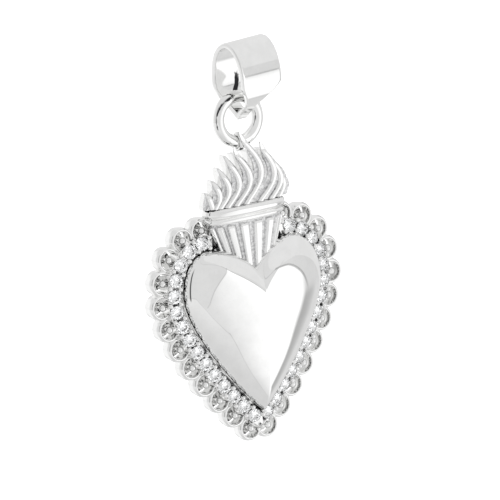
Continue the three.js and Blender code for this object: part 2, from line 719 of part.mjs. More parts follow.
const RING_TOP_UP = RING_UP + RING_RADIUS;
const LEG_DISTANCE = RING_WIRE / 2 + BAIL_RING_CLEARANCE + BAIL_THICKNESS / 2;
const BAIL_FOOT_UP = RING_TOP_UP - LEG_DISTANCE / Math.sin(BAIL_FOOT_HALF_ANGLE);

// The middle of the strap, seen from the side, from the fold at its foot up the front to the
// top, as (forward, up) from the fold.
function bailSide() {
  const lean = new THREE.Vector2(Math.sin(BAIL_FOOT_HALF_ANGLE), Math.cos(BAIL_FOOT_HALF_ANGLE));
  const knee = lean.clone().multiplyScalar(BAIL_LEG);
  const widest = new THREE.Vector2(BAIL_HALF_DEPTH, BAIL_WIDEST_UP);
  const top = new THREE.Vector2(0, BAIL_HEIGHT);
  const side = new THREE.CubicBezierCurve(
    knee,
    knee.clone().addScaledVector(lean, (BAIL_HALF_DEPTH - knee.x) / lean.x),
    new THREE.Vector2(BAIL_HALF_DEPTH, (widest.y + knee.y) / 2),
    widest,
  );
  const over = new THREE.EllipseCurve(0, widest.y, widest.x, top.y - widest.y, 0, Math.PI / 2);
  return [
    new THREE.Vector2(0, 0),
    ...side.getPoints(BAIL_STEPS / 2 - 1),
    ...over.getPoints(BAIL_STEPS / 2).slice(1),
  ];
}

function bail() {
  const front = bailSide();
  const back = front.slice(1, -1).map((p) => new THREE.Vector2(-p.x, p.y));
  const path = [...front, ...back.reverse()];
  const rings = path.map((p, i) => {
    const before = path.at(i - 1);
    const after = path[(i + 1) % path.length];
    const into = p.clone().sub(before).normalize();
    const out = after.clone().sub(p).normalize();
    const mean = into.clone().add(out).normalize();
    const mitre = 1 / Math.max(mean.dot(out), 0.3);
    const normal = new THREE.Vector2(mean.y, -mean.x).multiplyScalar(mitre);
    const flare = THREE.MathUtils.smoothstep(p.y, BAIL_FLARE_START, BAIL_FLARE_END);
    const half = THREE.MathUtils.lerp(BAIL_FOOT_WIDTH, BAIL_TOP_WIDTH, flare) / 2;
    const middle = BAIL_SKEW * flare;
    const skin = BAIL_THICKNESS / 2;
    const inner = skin - BAIL_EDGE;
    const corners = [
      [half - BAIL_EDGE, skin],
      [half, inner],
      [half, -inner],
      [half - BAIL_EDGE, -skin],
      [BAIL_EDGE - half, -skin],
      [-half, -inner],
      [-half, inner],
      [BAIL_EDGE - half, skin],
    ];
    return corners.map(([across, offset]) =>
      at(middle + across, p.x + normal.x * offset, p.y + normal.y * offset),
    );
  });
  return loft(rings, true);
}

// Assembly

function mesh(name, geometry, material) {
  const made = new THREE.Mesh(geometry, material.clone());
  made.name = name;
  return made;
}

const heart = new THREE.Group();
heart.add(mesh("heart_dome", geometryOf(heartDome()), polished));
heart.add(mesh("stone_rail", geometryOf(stoneRail()), polished));
heart.add(mesh("scalloped_rim", geometryOf(scallopedRim()), polished));
heart.add(mesh("crown_basket", geometryOf(crownBasket()), satin));
heart.add(mesh("crown_band", geometryOf(crownBand()), polished));
heart.add(mesh("flames", geometryOf(flames()), satin));
heart.add(mesh("apex_loop", apexLoop(), polished));
for (const { name, frame } of stoneFrames()) {
  heart.add(mesh(name, brilliant().applyMatrix4(frame), zirconia));
}
heart.add(mesh("jump_ring", jumpRing(), polished));

// The bail hangs loose on the jump ring and has turned a little about its own upright axis.
const turned = new THREE.Group();
turned.add(mesh("bail", bail(), polished));
turned.rotation.z = BAIL_YAW;
turned.position.copy(at(RING_ACROSS + BAIL_OFFSET, RING_FORWARD, BAIL_FOOT_UP));
heart.add(turned);

turned.updateMatrix();
const chainSeat = at(BAIL_SKEW, 0, BAIL_HEIGHT - BAIL_THICKNESS / 2).applyMatrix4(turned.matrix);
heart.position.copy(chainSeat.negate());

const pendant = new THREE.Group();
pendant.add(heart);

export default pendant;
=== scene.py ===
import math

import bmesh
import bpy
import numpy as np
from mathutils import Matrix, Vector

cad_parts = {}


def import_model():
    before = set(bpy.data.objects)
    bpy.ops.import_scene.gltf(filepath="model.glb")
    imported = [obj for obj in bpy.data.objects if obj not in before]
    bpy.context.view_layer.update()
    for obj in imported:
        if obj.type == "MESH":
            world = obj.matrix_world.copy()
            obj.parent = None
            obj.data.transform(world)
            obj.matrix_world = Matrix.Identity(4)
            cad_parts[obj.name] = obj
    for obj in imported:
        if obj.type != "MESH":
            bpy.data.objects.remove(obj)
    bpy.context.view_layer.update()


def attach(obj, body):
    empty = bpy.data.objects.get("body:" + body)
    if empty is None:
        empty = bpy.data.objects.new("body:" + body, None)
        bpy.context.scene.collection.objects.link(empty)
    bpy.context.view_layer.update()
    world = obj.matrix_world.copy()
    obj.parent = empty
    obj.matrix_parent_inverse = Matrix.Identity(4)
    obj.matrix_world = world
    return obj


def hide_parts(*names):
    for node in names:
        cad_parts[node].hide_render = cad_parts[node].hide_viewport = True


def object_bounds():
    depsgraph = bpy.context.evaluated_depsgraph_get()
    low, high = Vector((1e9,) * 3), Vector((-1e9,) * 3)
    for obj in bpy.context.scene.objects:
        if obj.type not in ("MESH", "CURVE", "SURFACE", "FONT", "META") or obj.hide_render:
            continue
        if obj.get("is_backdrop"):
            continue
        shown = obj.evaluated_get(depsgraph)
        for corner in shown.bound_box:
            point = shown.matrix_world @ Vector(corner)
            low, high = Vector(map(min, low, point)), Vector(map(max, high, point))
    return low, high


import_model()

# Sizes are millimetres, as (across, forward, up), with up from the two lowest border beads. A value called
# proud goes with each point: 1 is bright metal; towards 0, polished silver shows painted shade and
# painted dark reflections in a near-black colour, and cast silver shows its grain.
MM = 0.001
ACROSS, FORWARD, UP = np.eye(3)
AXIS = 1e-4  # radius of a lathed point that lies on the axis
WELD = 1e-8  # metres, between points that are joined into one
HAIR = 1e-4  # smallest step between two heights
GAP = 0.035  # between pieces that are joined face to face
BACK = -1.15  # plane of the back
BACK_PROUD, CUT_PROUD = 0.9, 0.8

# Border line
BORDER_BOTTOM, BOTTOM_HANDLE = -0.54, (1.6, 0.16)
BORDER_HALF, SIDE_HANDLE_UP = 7.92, 7.51
LOBE_CENTRE_UP, LOBE_RADIUS_ACROSS, LOBE_RADIUS_UP, LOBE_END = 11.41, 4.05, 5.05, 105
BORDER_STEPS, BORDER_SIDE_STEPS, BORDER_LOBE_STEPS = 960, 600, 500

# Scalloped rim
ARCHES_PER_SIDE, ARCH_HALF_TURN, ARCH_STEPS, ARCH_ROUND_STEPS = 12, math.radians(121), 56, 9
ARCH_OUTER, ARCH_WALL, ARCH_TOP = 1.06, 0.3, 0.02
ARCH_CREST_SHARE = 0.72  # of the wall, from outside, at its highest line
ARCH_SHOULDER, ARCH_LIP = 0.5, ARCH_WALL / 3  # heights of the rounds outside and inside of the crest
# ARCH_BACK_PROUD paints shade at the back of each arch, deepest on its inner wall
ARCH_TAPER, ARCH_BACK_PROUD, ARCH_FOOT_PROUD = 0.1, 0.5, 0.95
BEAD_RADIUS, BEAD_FORWARD, BEAD_STEPS, BALL_START = 0.3, -0.08, 10, -0.35 * math.pi
POST_RADIUS, POST_FOOT, POST_STEPS, POST_TURN_STEPS = 0.17, 0.68, 7, 24
# Painted shade on the posts and their feet, in the hollows of the arches
FOOT_OF_POST_PROUD, POST_PROUD = (0.45, 0.6), 0.3

# Stone rail
RAIL_INSET, RAIL_HALF, RAIL_TILT, RAIL_DRAFT = 0.9, 0.5, math.radians(14.5), 0.05
RAIL_OUTER, RAIL_INNER = RAIL_INSET - RAIL_HALF, RAIL_INSET + RAIL_HALF
RAIL_WALL, RAIL_CEILING, RAIL_CHAMFER, RAIL_STEPS = 0.25, 0.1, 0.05, 200
LEDGE = 0.35
GIRDLE_FORWARD, GIRDLE_STAND = 0.46, 0.12
SEAT_CLEARANCE, SEAT_FLARE, SEAT_SHELF, SEAT_TOP, SEAT_STEPS = 0.025, 0.05, -0.05, 0.4, 40
SEAT_BORE = ((AXIS, -0.6), (0.2, -0.56), (0.3, -0.34))  # (radius, height) under the stone
PRONG_OFFSET, TIP_PRONG_OFFSET, PRONG_RADIUS, PRONG_ROOT = 0.42, 0.62, 0.13, 0.15
PRONG_HEAD, PRONG_RISE, PRONG_STEPS, PRONG_TURN_STEPS = 0.2, 0.31, 9, 20
PRONG_PROUD = (0.0, 0.0, 0.2, 0.3)  # painted shade on the shaft, from the root to the foot of the head
SIDE_PRONG_ACROSS, SIDE_PRONG_UP, SIDE_PRONG_RISE, SIDE_PRONG_ROOT = 2.82, 14.74, 0.16, 0.1
# PLATE_PROUD paints shade, near black, on the front of the plate behind the crown
PLATE_RISE, PLATE_LAP, PLATE_PROUD = 0.45, 0.25, 0.04
TOOL_BACK, TOOL_FRONT = BACK - 1, 1  # depths between which the heart's room is cut out of them

# Stones, with shares of the stone's radius
STONES, FIRST_STONE, STONE_PITCH, STONE_DIAMETER = 15, 0.86, 1.275, 1.12
STONE_CROWN, STONE_PAVILION, STONE_GIRDLE = 0.17, 0.47, 0.012
TABLE_SHARE, STAR_SHARE, LOWER_SHARE = 0.56, 0.8, 0.3

# Puffed heart
CHANNEL = 0.54
HEART_INSET = RAIL_INNER + CHANNEL
CLEFT_UP, CLEFT_HANDLE, LOBE_HANDLE, LOBE_RISE = 12.85, (0.95, 1.15), 1.35, 0.34
HEART_CENTRE, HEART_SHOULDER, HEART_CREST, HEART_BACK, HEART_WALL = 9.3, 1.05, 2.9, -1.0, 0.5
HEART_ROUND = (3.9, 4.6)  # radii of the ellipse that the dome's outline nears towards its crest
DOME_POWER, DOME_SHARP_FROM = 2.3, 0.1
HEART_STEPS, HEART_LOBE_STEPS, DOME_STEPS, LINING_EVERY, SKIRT_STEPS = 120, 200, 45, 3, 9
HEART_SWELL, SWELL_ENDS, SWELL_FORWARD = 0.3, (13.0, 16.2), -0.4
# FOOT_PROUD and FOOT_PROUD_ENDS paint shade on the dome's skirt, darkest at its foot
HEART_ROUNDING, SKIRT_STAND, FOOT_PROUD, FOOT_PROUD_ENDS = 0.3, 0.04, 0.34, (0.0, 0.2)

# Crown
CROWN_BACK, CROWN_HALF, CROWN_DEPTH, SQUARENESS = 0.06, 3.2, 1.2, 0.5
BASKET_BOTTOM, BASKET_HALF, BASKET_DEPTH, BASKET_TOOL_BACK = 12.6, 1.6, 1.1, -2
BASKET_RINGS, BASKET_CROWDING, BASKET_STEPS = 36, 1.6, 256
BASKET_RIBS, RIB_HEIGHT, RIB_FLANK, RIB_FADE = 8, 0.3, (0.3, 0.85), (0.02, 0.3)
BAND_BOTTOM, GROOVE, BAND_STEPS, STRAND_STEPS = 16.85, 0.16, 120, 17
STRANDS = ((0.46, 0.34), (0.84, 0.46))  # height and bulge, from below
BAND_TOP = BAND_BOTTOM + STRANDS[0][0] + STRANDS[1][0]

# Flames
LEFT_TONGUES, RIGHT_TONGUES, APEX_ANGLE = 5, 4, math.radians(-6)
APEX_UP, APEX_ACROSS, SHOULDER_UP, FLAME_HALF, LEFT_REACH, RIGHT_REACH = 23.95, -0.35, 19.5, 3.15, 3.5, 3.35
EDGE_DEPTH, FLAME_DEPTH = 1.1, 1.6
LOWERED_TONGUE, LOWERED_BY = -1, 0.24  # so that the jump ring clears it
FLAME_SWAY, SWAY_FADE, SWAY_LEAN, SWAY_POWER = 1.6, 0.8, 0.8, 1.5
TONGUE_WIDTH, TONGUE_TIP, TONGUE_TAPER, TIP_THINNING, THINNING_POWER = 1.5, 0.2, 1.6, 0.42, 6
RIDGE, RIDGE_END_SHARE, RIDGE_WIDTH, RIDGE_POWER = 0.34, 0.3, 0.5, 5
TONGUE_EDGE = 0.15  # share of a tongue's depth that its edge is rounded by
TONGUE_RINGS, TONGUE_STEPS, TONGUE_PROUD = 44, 41, 0.95
BACK_STEP, BACK_STEPS = 0.02, 4  # neighbours' backs lie apart, so that no two share a plane
LEAST_DEPTH, LEAST_DEPTH_AT_LOOP = 0.004, 0.12

# Loop and jump ring
LOOP_HOLE, LOOP_WIRE = 0.52, 0.24
RING_WIRE, RING_RADIUS, RING_FORWARD, RING_LEAN = 0.95, 1.8, 0.45, math.radians(4.8)
RING_DROP = 0.95  # of the wire where the loop holds it, below the flames' tip
RING_SEAT = APEX_UP - RING_DROP
RING_ACROSS, RING_UP = RING_RADIUS * math.sin(RING_LEAN), RING_SEAT + RING_RADIUS * math.cos(RING_LEAN)
RING_STEPS, WIRE_STEPS, LOOP_STEPS, LOOP_WIRE_STEPS, LOOP_STRETCH = 144, 48, 96, 32, 2
# Painted dark reflections on the jump ring, as strokes. Degrees: places round the ring, from its right, and round
# the wire, from its outside
STROKE_COMES, STROKE_GOES, SHORT_STROKE_GOES = (95, 120), (185, 215), (12, 32)
STROKE_WIDTH, STROKE_SPREAD, STROKE_NARROWS = 9, 16, (120, 165)
STROKE_MIDDLE, STROKE_WANDER = 89, 49

# Bail
BAIL_OFFSET, BAIL_SKEW, BAIL_YAW, BAIL_THICKNESS, BAIL_EDGE = 0.4, 0.85, math.radians(12), 0.42, 0.1
BAIL_ANGLE, BAIL_CLEAR, BAIL_LEG = math.radians(47), 0.48, 1.25
BAIL_DEPTH, BAIL_WIDEST, BAIL_HEIGHT = 1.6, 3.0, 5.72
BAIL_FOOT_WIDTH, BAIL_TOP_WIDTH, BAIL_FLARE = 1.15, 4.2, (0.7, 2.6)
BAIL_STEPS, BAIL_EDGE_STEPS, BAIL_FACE_STEPS, LEAST_MITRE = 48, 6, 30, 0.3
EASE, EASE_FORWARD, EASE_UP, EASE_REACH = 0.21, 0.68, 0.78, (0.25, 0.8)  # room for the ring in the front knee
# Painted dark reflection down the inside of the bail's back leg
STRIP_COMES, STRIP_GOES, STRIP_ACROSS, STRIP_SIDES = (1.0, 1.8), (2.6, 4.0), 0.3, (0.16, 0.4)
STRIP_STRENGTH, INSIDE_FROM = 1.2, -0.8  # where the inside begins, as a share of half the thickness
FOOT_UP = RING_UP + RING_RADIUS - (RING_WIRE / 2 + BAIL_CLEAR + BAIL_THICKNESS / 2) / math.sin(BAIL_ANGLE)
SEAT = (
    RING_ACROSS + BAIL_OFFSET + BAIL_SKEW * math.cos(BAIL_YAW),
    RING_FORWARD - BAIL_SKEW * math.sin(BAIL_YAW),
    FOOT_UP + BAIL_HEIGHT - BAIL_THICKNESS / 2,
)


def world(points):
    """Points given as (across, forward, up) in millimetres, in the part's frame in metres."""
    p = np.asarray(points, float)
    return np.stack([p[..., 0] - SEAT[0], SEAT[1] - p[..., 1], p[..., 2] - SEAT[2]], -1) * MM


def smooth(x, low, high):
    """0 up to low, 1 from high on, and an even curve between them."""
    t = np.clip((np.asarray(x, float) - low) / (high - low), 0, 1)
    return t * t * (3 - 2 * t)


def mix(a, b, t):
    return a + (b - a) * t


def unit(ways):
    return ways / np.linalg.norm(ways, axis=1)[:, None]


def place_at(origin, x_way, y_way, z_way):
    """A place with three directions of its own, as a matrix."""
    made = np.eye(4)
    made[:3] = np.stack([x_way, y_way, z_way, origin], 1)
    return made


def facing_forward(across, forward, up):
    """A place whose third direction is forward, for a lathe."""
    return place_at((across, forward, up), ACROSS, -UP, FORWARD)


def put(points, place):
    """Points given along a place's own directions."""
    return points @ place[:3, :3].T + place[:3, 3]


# Meshes

class Form:
    """Points, faces, and a proud value for each point, low where painted shade, painted dark reflection or grain
    shows.
    """

    def __init__(self):
        self.points, self.faces, self.proud = [], [], []

    def add(self, points, faces, proud=1.0):
        base = len(self.points)
        self.points.extend(map(tuple, points))
        self.faces.extend(tuple(base + i for i in face) for face in faces)
        self.proud.extend(np.broadcast_to(np.asarray(proud, float), (len(points),)))
        return self

    def loft(self, rings, closed=False, caps=True, proud=1.0):
        """Rings of equal length, as an array (rings, points, 3), joined round and along."""
        rings = np.asarray(rings, float)
        m, n = rings.shape[:2]
        faces = []
        for i in range(m if closed else m - 1):
            a, b = i * n, ((i + 1) % m) * n
            faces += [(a + j, a + (j + 1) % n, b + (j + 1) % n, b + j) for j in range(n)]
        if caps and not closed:
            faces += [tuple(range(n))[::-1], tuple((m - 1) * n + j for j in range(n))]
        proud = np.broadcast_to(np.asarray(proud, float), (m, n)).reshape(-1)
        return self.add(rings.reshape(-1, 3), faces, proud)

    def lathe(self, profile, steps, place, start=0.0, turn=2 * math.pi, proud=1.0):
        """A profile of (radius, height) revolved in a place. A whole turn's two ends meet and are welded."""
        whole = abs(turn - 2 * math.pi) < 1e-9
        angles = start + np.linspace(0, turn, steps if whole else steps + 1)
        p = np.asarray(profile, float)
        rings = np.zeros((len(angles), len(p), 3))
        rings[..., 0] = np.cos(angles)[:, None] * p[:, 0]
        rings[..., 1] = np.sin(angles)[:, None] * p[:, 0]
        rings[..., 2] = p[:, 1]
        return self.loft(put(rings, place), closed=whole, caps=not whole, proud=proud)

    def torus(self, radius, wire, place, around, section, width=1.0, proud=1.0):
        """A ring of wire, wire being the wire's radius and width a stretch along the ring's axis."""
        a = np.linspace(0, 2 * math.pi, around, endpoint=False)[:, None]
        b = np.linspace(0, 2 * math.pi, section, endpoint=False)
        rings = np.zeros((around, section, 3))
        rings[..., 0] = np.cos(a) * (radius + wire * np.cos(b))
        rings[..., 1] = np.sin(a) * (radius + wire * np.cos(b))
        rings[..., 2] = wire * width * np.sin(b)
        return self.loft(put(rings, place), closed=True, proud=proud)


def link_object(name, data):
    obj = bpy.data.objects.new(name, data)
    bpy.context.scene.collection.objects.link(obj)
    return obj


def clean(mesh):
    """Welds the points that coincide and turns the faces outward."""
    bm = bmesh.new()
    bm.from_mesh(mesh)
    bmesh.ops.remove_doubles(bm, verts=bm.verts, dist=WELD)
    bmesh.ops.recalc_face_normals(bm, faces=bm.faces)
    bm.to_mesh(mesh)
    bm.free()


def shade(obj, sharp, faceted=False):
    """Smooth faces, or flat ones, with edges sharp from an angle in degrees."""
    bm = bmesh.new()
    bm.from_mesh(obj.data)
    for face in bm.faces:
        face.smooth = not faceted
    for edge in bm.edges:
        wide = len(edge.link_faces) == 2 and edge.calc_face_angle(0) > math.radians(sharp)
        edge.smooth = not wide
    bm.to_mesh(obj.data)
    bm.free()


def object_of(name, form, proud):
    mesh = bpy.data.meshes.new(name)
    mesh.from_pydata(world(form.points).tolist(), [], form.faces)
    mesh.attributes.new("proud", "FLOAT", "POINT").data.foreach_set("value", proud)
    obj = link_object(name, mesh)
    clean(mesh)
    return obj


def make(name, form, material, body, nodes, sharp=40, faceted=False):
    """A visible piece: its form, its looks, the body that it rides on and the solids that it replaces."""
    obj = object_of(name, form, list(form.proud))
    shade(obj, sharp, faceted)
    obj.data.materials.append(material)
    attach(obj, body)
    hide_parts(*nodes)
    return obj


def cut(obj, form, sharp=35):
    """Takes the closed surfaces of a form out of an object."""
    tool = object_of("tool", form, [CUT_PROUD] * len(form.points))
    clean(obj.data)
    boolean = obj.modifiers.new("BOOLEAN", "BOOLEAN")
    boolean.operation, boolean.solver, boolean.object = "DIFFERENCE", "EXACT", tool
    bpy.context.view_layer.update()
    depsgraph = bpy.context.evaluated_depsgraph_get()
    mesh = bpy.data.meshes.new_from_object(obj.evaluated_get(depsgraph), depsgraph=depsgraph)
    obj.modifiers.clear()
    obj.data = mesh
    bpy.data.objects.remove(tool)
    shade(obj, sharp)


# Border line and the lines beside it, as points (across, up)

def bezier(a, b, c, d, steps):
    t = np.linspace(0, 1, steps + 1)[:, None]
    a, b, c, d = (np.asarray(p, float) for p in (a, b, c, d))
    return a * (1 - t) ** 3 + 3 * b * t * (1 - t) ** 2 + 3 * c * t * t * (1 - t) + d * t**3


def lengths(line):
    return np.concatenate([[0], np.cumsum(np.linalg.norm(np.diff(line, axis=0), axis=1))])


def place_on(line, share):
    """Points and directions at shares of a line's length."""
    along = lengths(line)
    want = np.clip(np.atleast_1d(share), 0, 1) * along[-1]
    point = np.stack([np.interp(want, along, line[:, k]) for k in (0, 1)], 1)
    slope = np.gradient(line, along, axis=0)
    return point, unit(np.stack([np.interp(want, along, slope[:, k]) for k in (0, 1)], 1))


def at_depth(line, forward):
    """A line's points with a depth, as (across, forward, up)."""
    return np.stack([line[:, 0], np.full(len(line), float(forward)), line[:, 1]], 1)


def border():
    """The right half of the border, from the bottom of the heart to the inner end of its lobe."""
    side = bezier(
        (0, BORDER_BOTTOM), BOTTOM_HANDLE, (BORDER_HALF, SIDE_HANDLE_UP), (BORDER_HALF, LOBE_CENTRE_UP),
        BORDER_SIDE_STEPS,
    )
    angle = np.radians(np.linspace(0, LOBE_END, BORDER_LOBE_STEPS))[1:]
    lobe_across = BORDER_HALF - LOBE_RADIUS_ACROSS + LOBE_RADIUS_ACROSS * np.cos(angle)
    lobe = np.stack([lobe_across, LOBE_CENTRE_UP + LOBE_RADIUS_UP * np.sin(angle)], 1)
    return place_on(np.concatenate([side, lobe]), np.linspace(0, 1, BORDER_STEPS + 1))[0]


BORDER = border()


def line_inside(inset):
    """The border moved in by an inset, and cut where it meets the middle of the heart."""
    way = np.empty_like(BORDER)
    way[1:-1] = BORDER[2:] - BORDER[:-2]
    way[0], way[-1] = BORDER[1] - BORDER[0], BORDER[-1] - BORDER[-2]
    way = unit(way)
    moved = BORDER + inset * np.stack([-way[:, 1], way[:, 0]], 1)
    moved[0, 0] = 0
    k = np.flatnonzero(moved[:, 0] <= 0)[-1]
    low, high = moved[k], moved[k + 1]
    start = low + (high - low) * (-low[0] / (high[0] - low[0]))
    return np.concatenate([[[0, start[1]]], moved[k + 1:]])


def mirrored(line):
    """A right half's line, followed by the left half's on the way back."""
    left = line[line[:, 0] > 1e-6] * (-1, 1)
    return np.concatenate([line, left[::-1]])


def heart_outline(inset):
    """The puffed heart's outline: the border's line, with lobes of its own and a cleft."""
    side = line_inside(inset)
    side[:, 1] += LOBE_RISE * smooth(side[:, 1], HEART_CENTRE, LOBE_CENTRE_UP + LOBE_RADIUS_UP)
    top = int(np.argmax(side[:, 1]))
    peak, deeper = side[top], inset - HEART_INSET
    lobe = bezier(
        peak, (peak[0] - LOBE_HANDLE, peak[1]),
        (CLEFT_HANDLE[0], CLEFT_UP + CLEFT_HANDLE[1] - deeper), (0, CLEFT_UP - deeper),
        HEART_LOBE_STEPS,
    )
    whole = np.concatenate([side[:top + 1], lobe[1:]])
    even = place_on(whole, np.linspace(0, 1, HEART_STEPS + 1))[0]
    even[0, 0] = even[-1, 0] = 0
    return mirrored(even)


def add_heart_room(form, low, high):
    """The room that the heart and its gap take between two depths, as a tool for cut."""
    heart = heart_outline(HEART_INSET - GAP)
    return form.loft([at_depth(heart, low), at_depth(heart, high)])


RAIL_LINE = line_inside(RAIL_INSET)
RAIL_LENGTH = lengths(RAIL_LINE)[-1]


def rail_place(side, distance):
    """A place on the rail, tilted with it, at a distance from its lowest point."""
    point, way = place_on(RAIL_LINE, distance / RAIL_LENGTH)
    (x, up), (dx, dup) = point[0], way[0] if distance > 0 else (1.0, 0.0)
    outward = np.array([side * dup, 0, -dx])
    normal = FORWARD * math.cos(RAIL_TILT) + outward * math.sin(RAIL_TILT)
    across = outward * math.cos(RAIL_TILT) - FORWARD * math.sin(RAIL_TILT)
    return place_at((side * x, GIRDLE_FORWARD, up), across, np.cross(normal, across), normal)


def stone_places():
    for side, word in ((-1, "left"), (1, "right")):
        for i in range(STONES):
            yield f"stone_{word}_{i + 1:02d}", rail_place(side, FIRST_STONE + i * STONE_PITCH)


def arch_places():
    """Each arch's middle, facing forward, and the angle of the way out of the heart there."""
    points, ways = place_on(line_inside(0), (np.arange(ARCHES_PER_SIDE) + 0.5) / ARCHES_PER_SIDE)
    for side in (-1, 1):
        for (x, up), (dx, dup) in zip(points, ways):
            yield facing_forward(side * x, 0, up), math.atan2(-dx, side * dup)


# Materials

# The last colour, near black, is painted shade and painted dark reflections on polished silver
HAZY_SILVER, CLEAR_SILVER, SHADE_AND_REFLECTION_COLOUR = (0.915, 0.915, 0.91, 1), (0.96, 0.96, 0.955, 1), (0.035, 0.035, 0.038, 1)
CAST_DARK, CAST_PALE, CAST_BRIGHT = (0.58, 0.58, 0.585, 1), (0.92, 0.92, 0.92, 1), (0.95, 0.95, 0.945, 1)
STONE_DUSTY, STONE_CLEAR, STONE_REFRACTION = (0.96, 0.97, 0.98, 1), (1, 1, 1, 1), 2.15
RISE, FALL = (0, 1), (1, 0)


class Nodes:
    """A node tree. A value is a number, a colour or another node's output."""

    def __init__(self, tree, coordinates):
        self.tree = tree
        self.place = self.node("ShaderNodeTexCoord").outputs[coordinates]

    def node(self, kind, **settings):
        made = self.tree.nodes.new(kind)
        for key, value in settings.items():
            setattr(made, key, value)
        return made

    def give(self, value, socket):
        if isinstance(value, bpy.types.NodeSocket):
            self.tree.links.new(value, socket)
        else:
            socket.default_value = value

    def noise(self, scale, detail, rough, stretch=None):
        node = self.node("ShaderNodeTexNoise")
        place = self.place
        if stretch:
            mapping = self.node("ShaderNodeMapping")
            self.give(stretch, mapping.inputs["Scale"])
            self.give(place, mapping.inputs["Vector"])
            place = mapping.outputs["Vector"]
        for key, value in (("Scale", scale), ("Detail", detail), ("Roughness", rough), ("Vector", place)):
            self.give(value, node.inputs[key])
        return node.outputs["Fac"]

    def ramp(self, value, source, target=RISE):
        """A smooth step from one range to another."""
        node = self.node("ShaderNodeMapRange", interpolation_type="SMOOTHSTEP")
        for key, v in zip(("From Min", "From Max", "To Min", "To Max"), (*source, *target)):
            self.give(v, node.inputs[key])
        self.give(value, node.inputs["Value"])
        return node.outputs["Result"]

    def math(self, operation, first, *others):
        """One value out of two or more, from left to right."""
        for other in others:
            node = self.node("ShaderNodeMath", operation=operation)
            self.give(first, node.inputs[0])
            self.give(other, node.inputs[1])
            first = node.outputs["Value"]
        return first

    def add(self, *values):
        return self.math("ADD", *values)

    def times(self, *values):
        return self.math("MULTIPLY", *values)

    def mix(self, kind, factor, a, b):
        node = self.node("ShaderNodeMix", data_type=kind)
        for key, value in (("Factor", factor), ("A", a), ("B", b)):
            self.give(value, node.inputs[key])
        return node.outputs["Result"]


class Surface(Nodes):
    """A material and its shader."""

    def __init__(self, name):
        self.material = bpy.data.materials.new(name)
        self.material.use_nodes = True
        super().__init__(self.material.node_tree, "Object")
        self.shader = self.tree.nodes["Principled BSDF"]

    def set(self, key, value):
        self.give(value, self.shader.inputs[key])

    def proud(self):
        return self.node("ShaderNodeAttribute", attribute_name="proud").outputs["Fac"]

    def bump(self, height, distance, strength):
        node = self.node("ShaderNodeBump")
        for key, value in (("Distance", distance), ("Strength", strength), ("Height", height)):
            self.give(value, node.inputs[key])
        self.set("Normal", node.outputs["Normal"])


def polished_silver(name, rough):
    """Mirror-polished silver with faint polishing lines and haze, and painted shade in a near-black colour where
    the proud value is low: in its deep places, and as painted dark reflections on the jump ring and the bail.
    """
    m = Surface(name)
    haze = m.noise(scale=900, detail=4, rough=0.6)
    lines = m.noise(scale=2600, detail=2, rough=0.5, stretch=(1.0, 1.0, 0.06))
    uneven = m.ramp(m.noise(scale=1300, detail=3, rough=0.6), (0.3, 0.7), (-0.25, 0.3))
    # Painted shade and painted dark reflections where the proud value is low, with an uneven edge
    painted_shade_and_reflection = m.ramp(m.add(m.proud(), uneven), (0.0, 0.45), FALL)
    unshaded_silver = m.mix("RGBA", m.ramp(haze, (0.3, 0.7)), HAZY_SILVER, CLEAR_SILVER)
    m.set("Metallic", 1)
    m.set("Base Color", m.mix("RGBA", painted_shade_and_reflection, unshaded_silver, SHADE_AND_REFLECTION_COLOUR))
    shine = m.add(m.ramp(haze, (0.35, 0.75), (rough, rough + 0.03)), m.ramp(lines, (0.5, 0.8), (0, 0.02)))
    m.set("Roughness", m.add(shine, m.times(painted_shade_and_reflection, 0.35)))
    waves = m.noise(scale=260, detail=2, rough=0.4)
    m.bump(m.add(waves, m.times(lines, 0.25)), distance=0.00000045, strength=1.0)
    return m.material


def cast_silver(name):
    """Cast silver: bright where it stands proud, grainy and darker in its grooves."""
    m = Surface(name)
    proud = m.proud()
    grain, pits = m.noise(scale=5200, detail=3, rough=0.65), m.noise(scale=2300, detail=2, rough=0.5)
    grooves = m.mix("RGBA", m.ramp(grain, (0.35, 0.65)), CAST_DARK, CAST_PALE)
    m.set("Metallic", 1)
    m.set("Base Color", m.mix("RGBA", m.ramp(proud, (0.35, 0.75)), grooves, CAST_BRIGHT))
    m.set("Roughness", m.add(m.ramp(proud, (0.35, 0.8), (0.36, 0.1)), m.ramp(grain, (0.3, 0.8), (0, 0.1))))
    relief = m.times(m.add(grain, m.times(pits, 0.8)), m.ramp(proud, (0.3, 0.85), (1.0, 0.06)))
    m.bump(relief, distance=0.00005, strength=0.9)
    return m.material


def zirconia(name):
    """Clear faceted stone with its high refraction, and a faint trace of dust on the facets."""
    m = Surface(name)
    dust = m.noise(scale=3000, detail=2, rough=0.5)
    m.set("IOR", STONE_REFRACTION)
    m.set("Transmission Weight", 1)
    m.set("Base Color", m.mix("RGBA", m.ramp(dust, (0.4, 0.7)), STONE_DUSTY, STONE_CLEAR))
    m.set("Roughness", m.ramp(dust, (0.5, 0.8), (0.0, 0.03)))
    return m.material


DOME = polished_silver("silver_mirror", rough=0.02)
POLISHED = polished_silver("silver_polished", rough=0.06)
BRIGHT_CUT = polished_silver("silver_bright_cut", rough=0.09)
CAST = cast_silver("silver_cast")
STONE = zirconia("zirconia")


# Puffed heart

def dome_rings(outline, shoulder, crest, shares):
    """The outline drawn in to shares of its size, rounder and further forward towards the crest."""
    x, y = outline[:, 0], outline[:, 1] - HEART_CENTRE
    angle = np.arctan2(y / HEART_ROUND[1], x / HEART_ROUND[0])
    rings = []
    for share in shares:
        rise = math.sqrt(max(1 - share**DOME_POWER, 0))
        sharp = float(smooth(share, DOME_SHARP_FROM, 1))
        across = HEART_ROUND[0] * np.cos(angle) * (1 - sharp) + x * sharp
        up = HEART_ROUND[1] * np.sin(angle) * (1 - sharp) + y * sharp
        forward = np.full_like(x, shoulder + (crest - shoulder) * rise)
        rings.append(np.stack([share * across, forward, HEART_CENTRE + share * up], 1))
    return rings


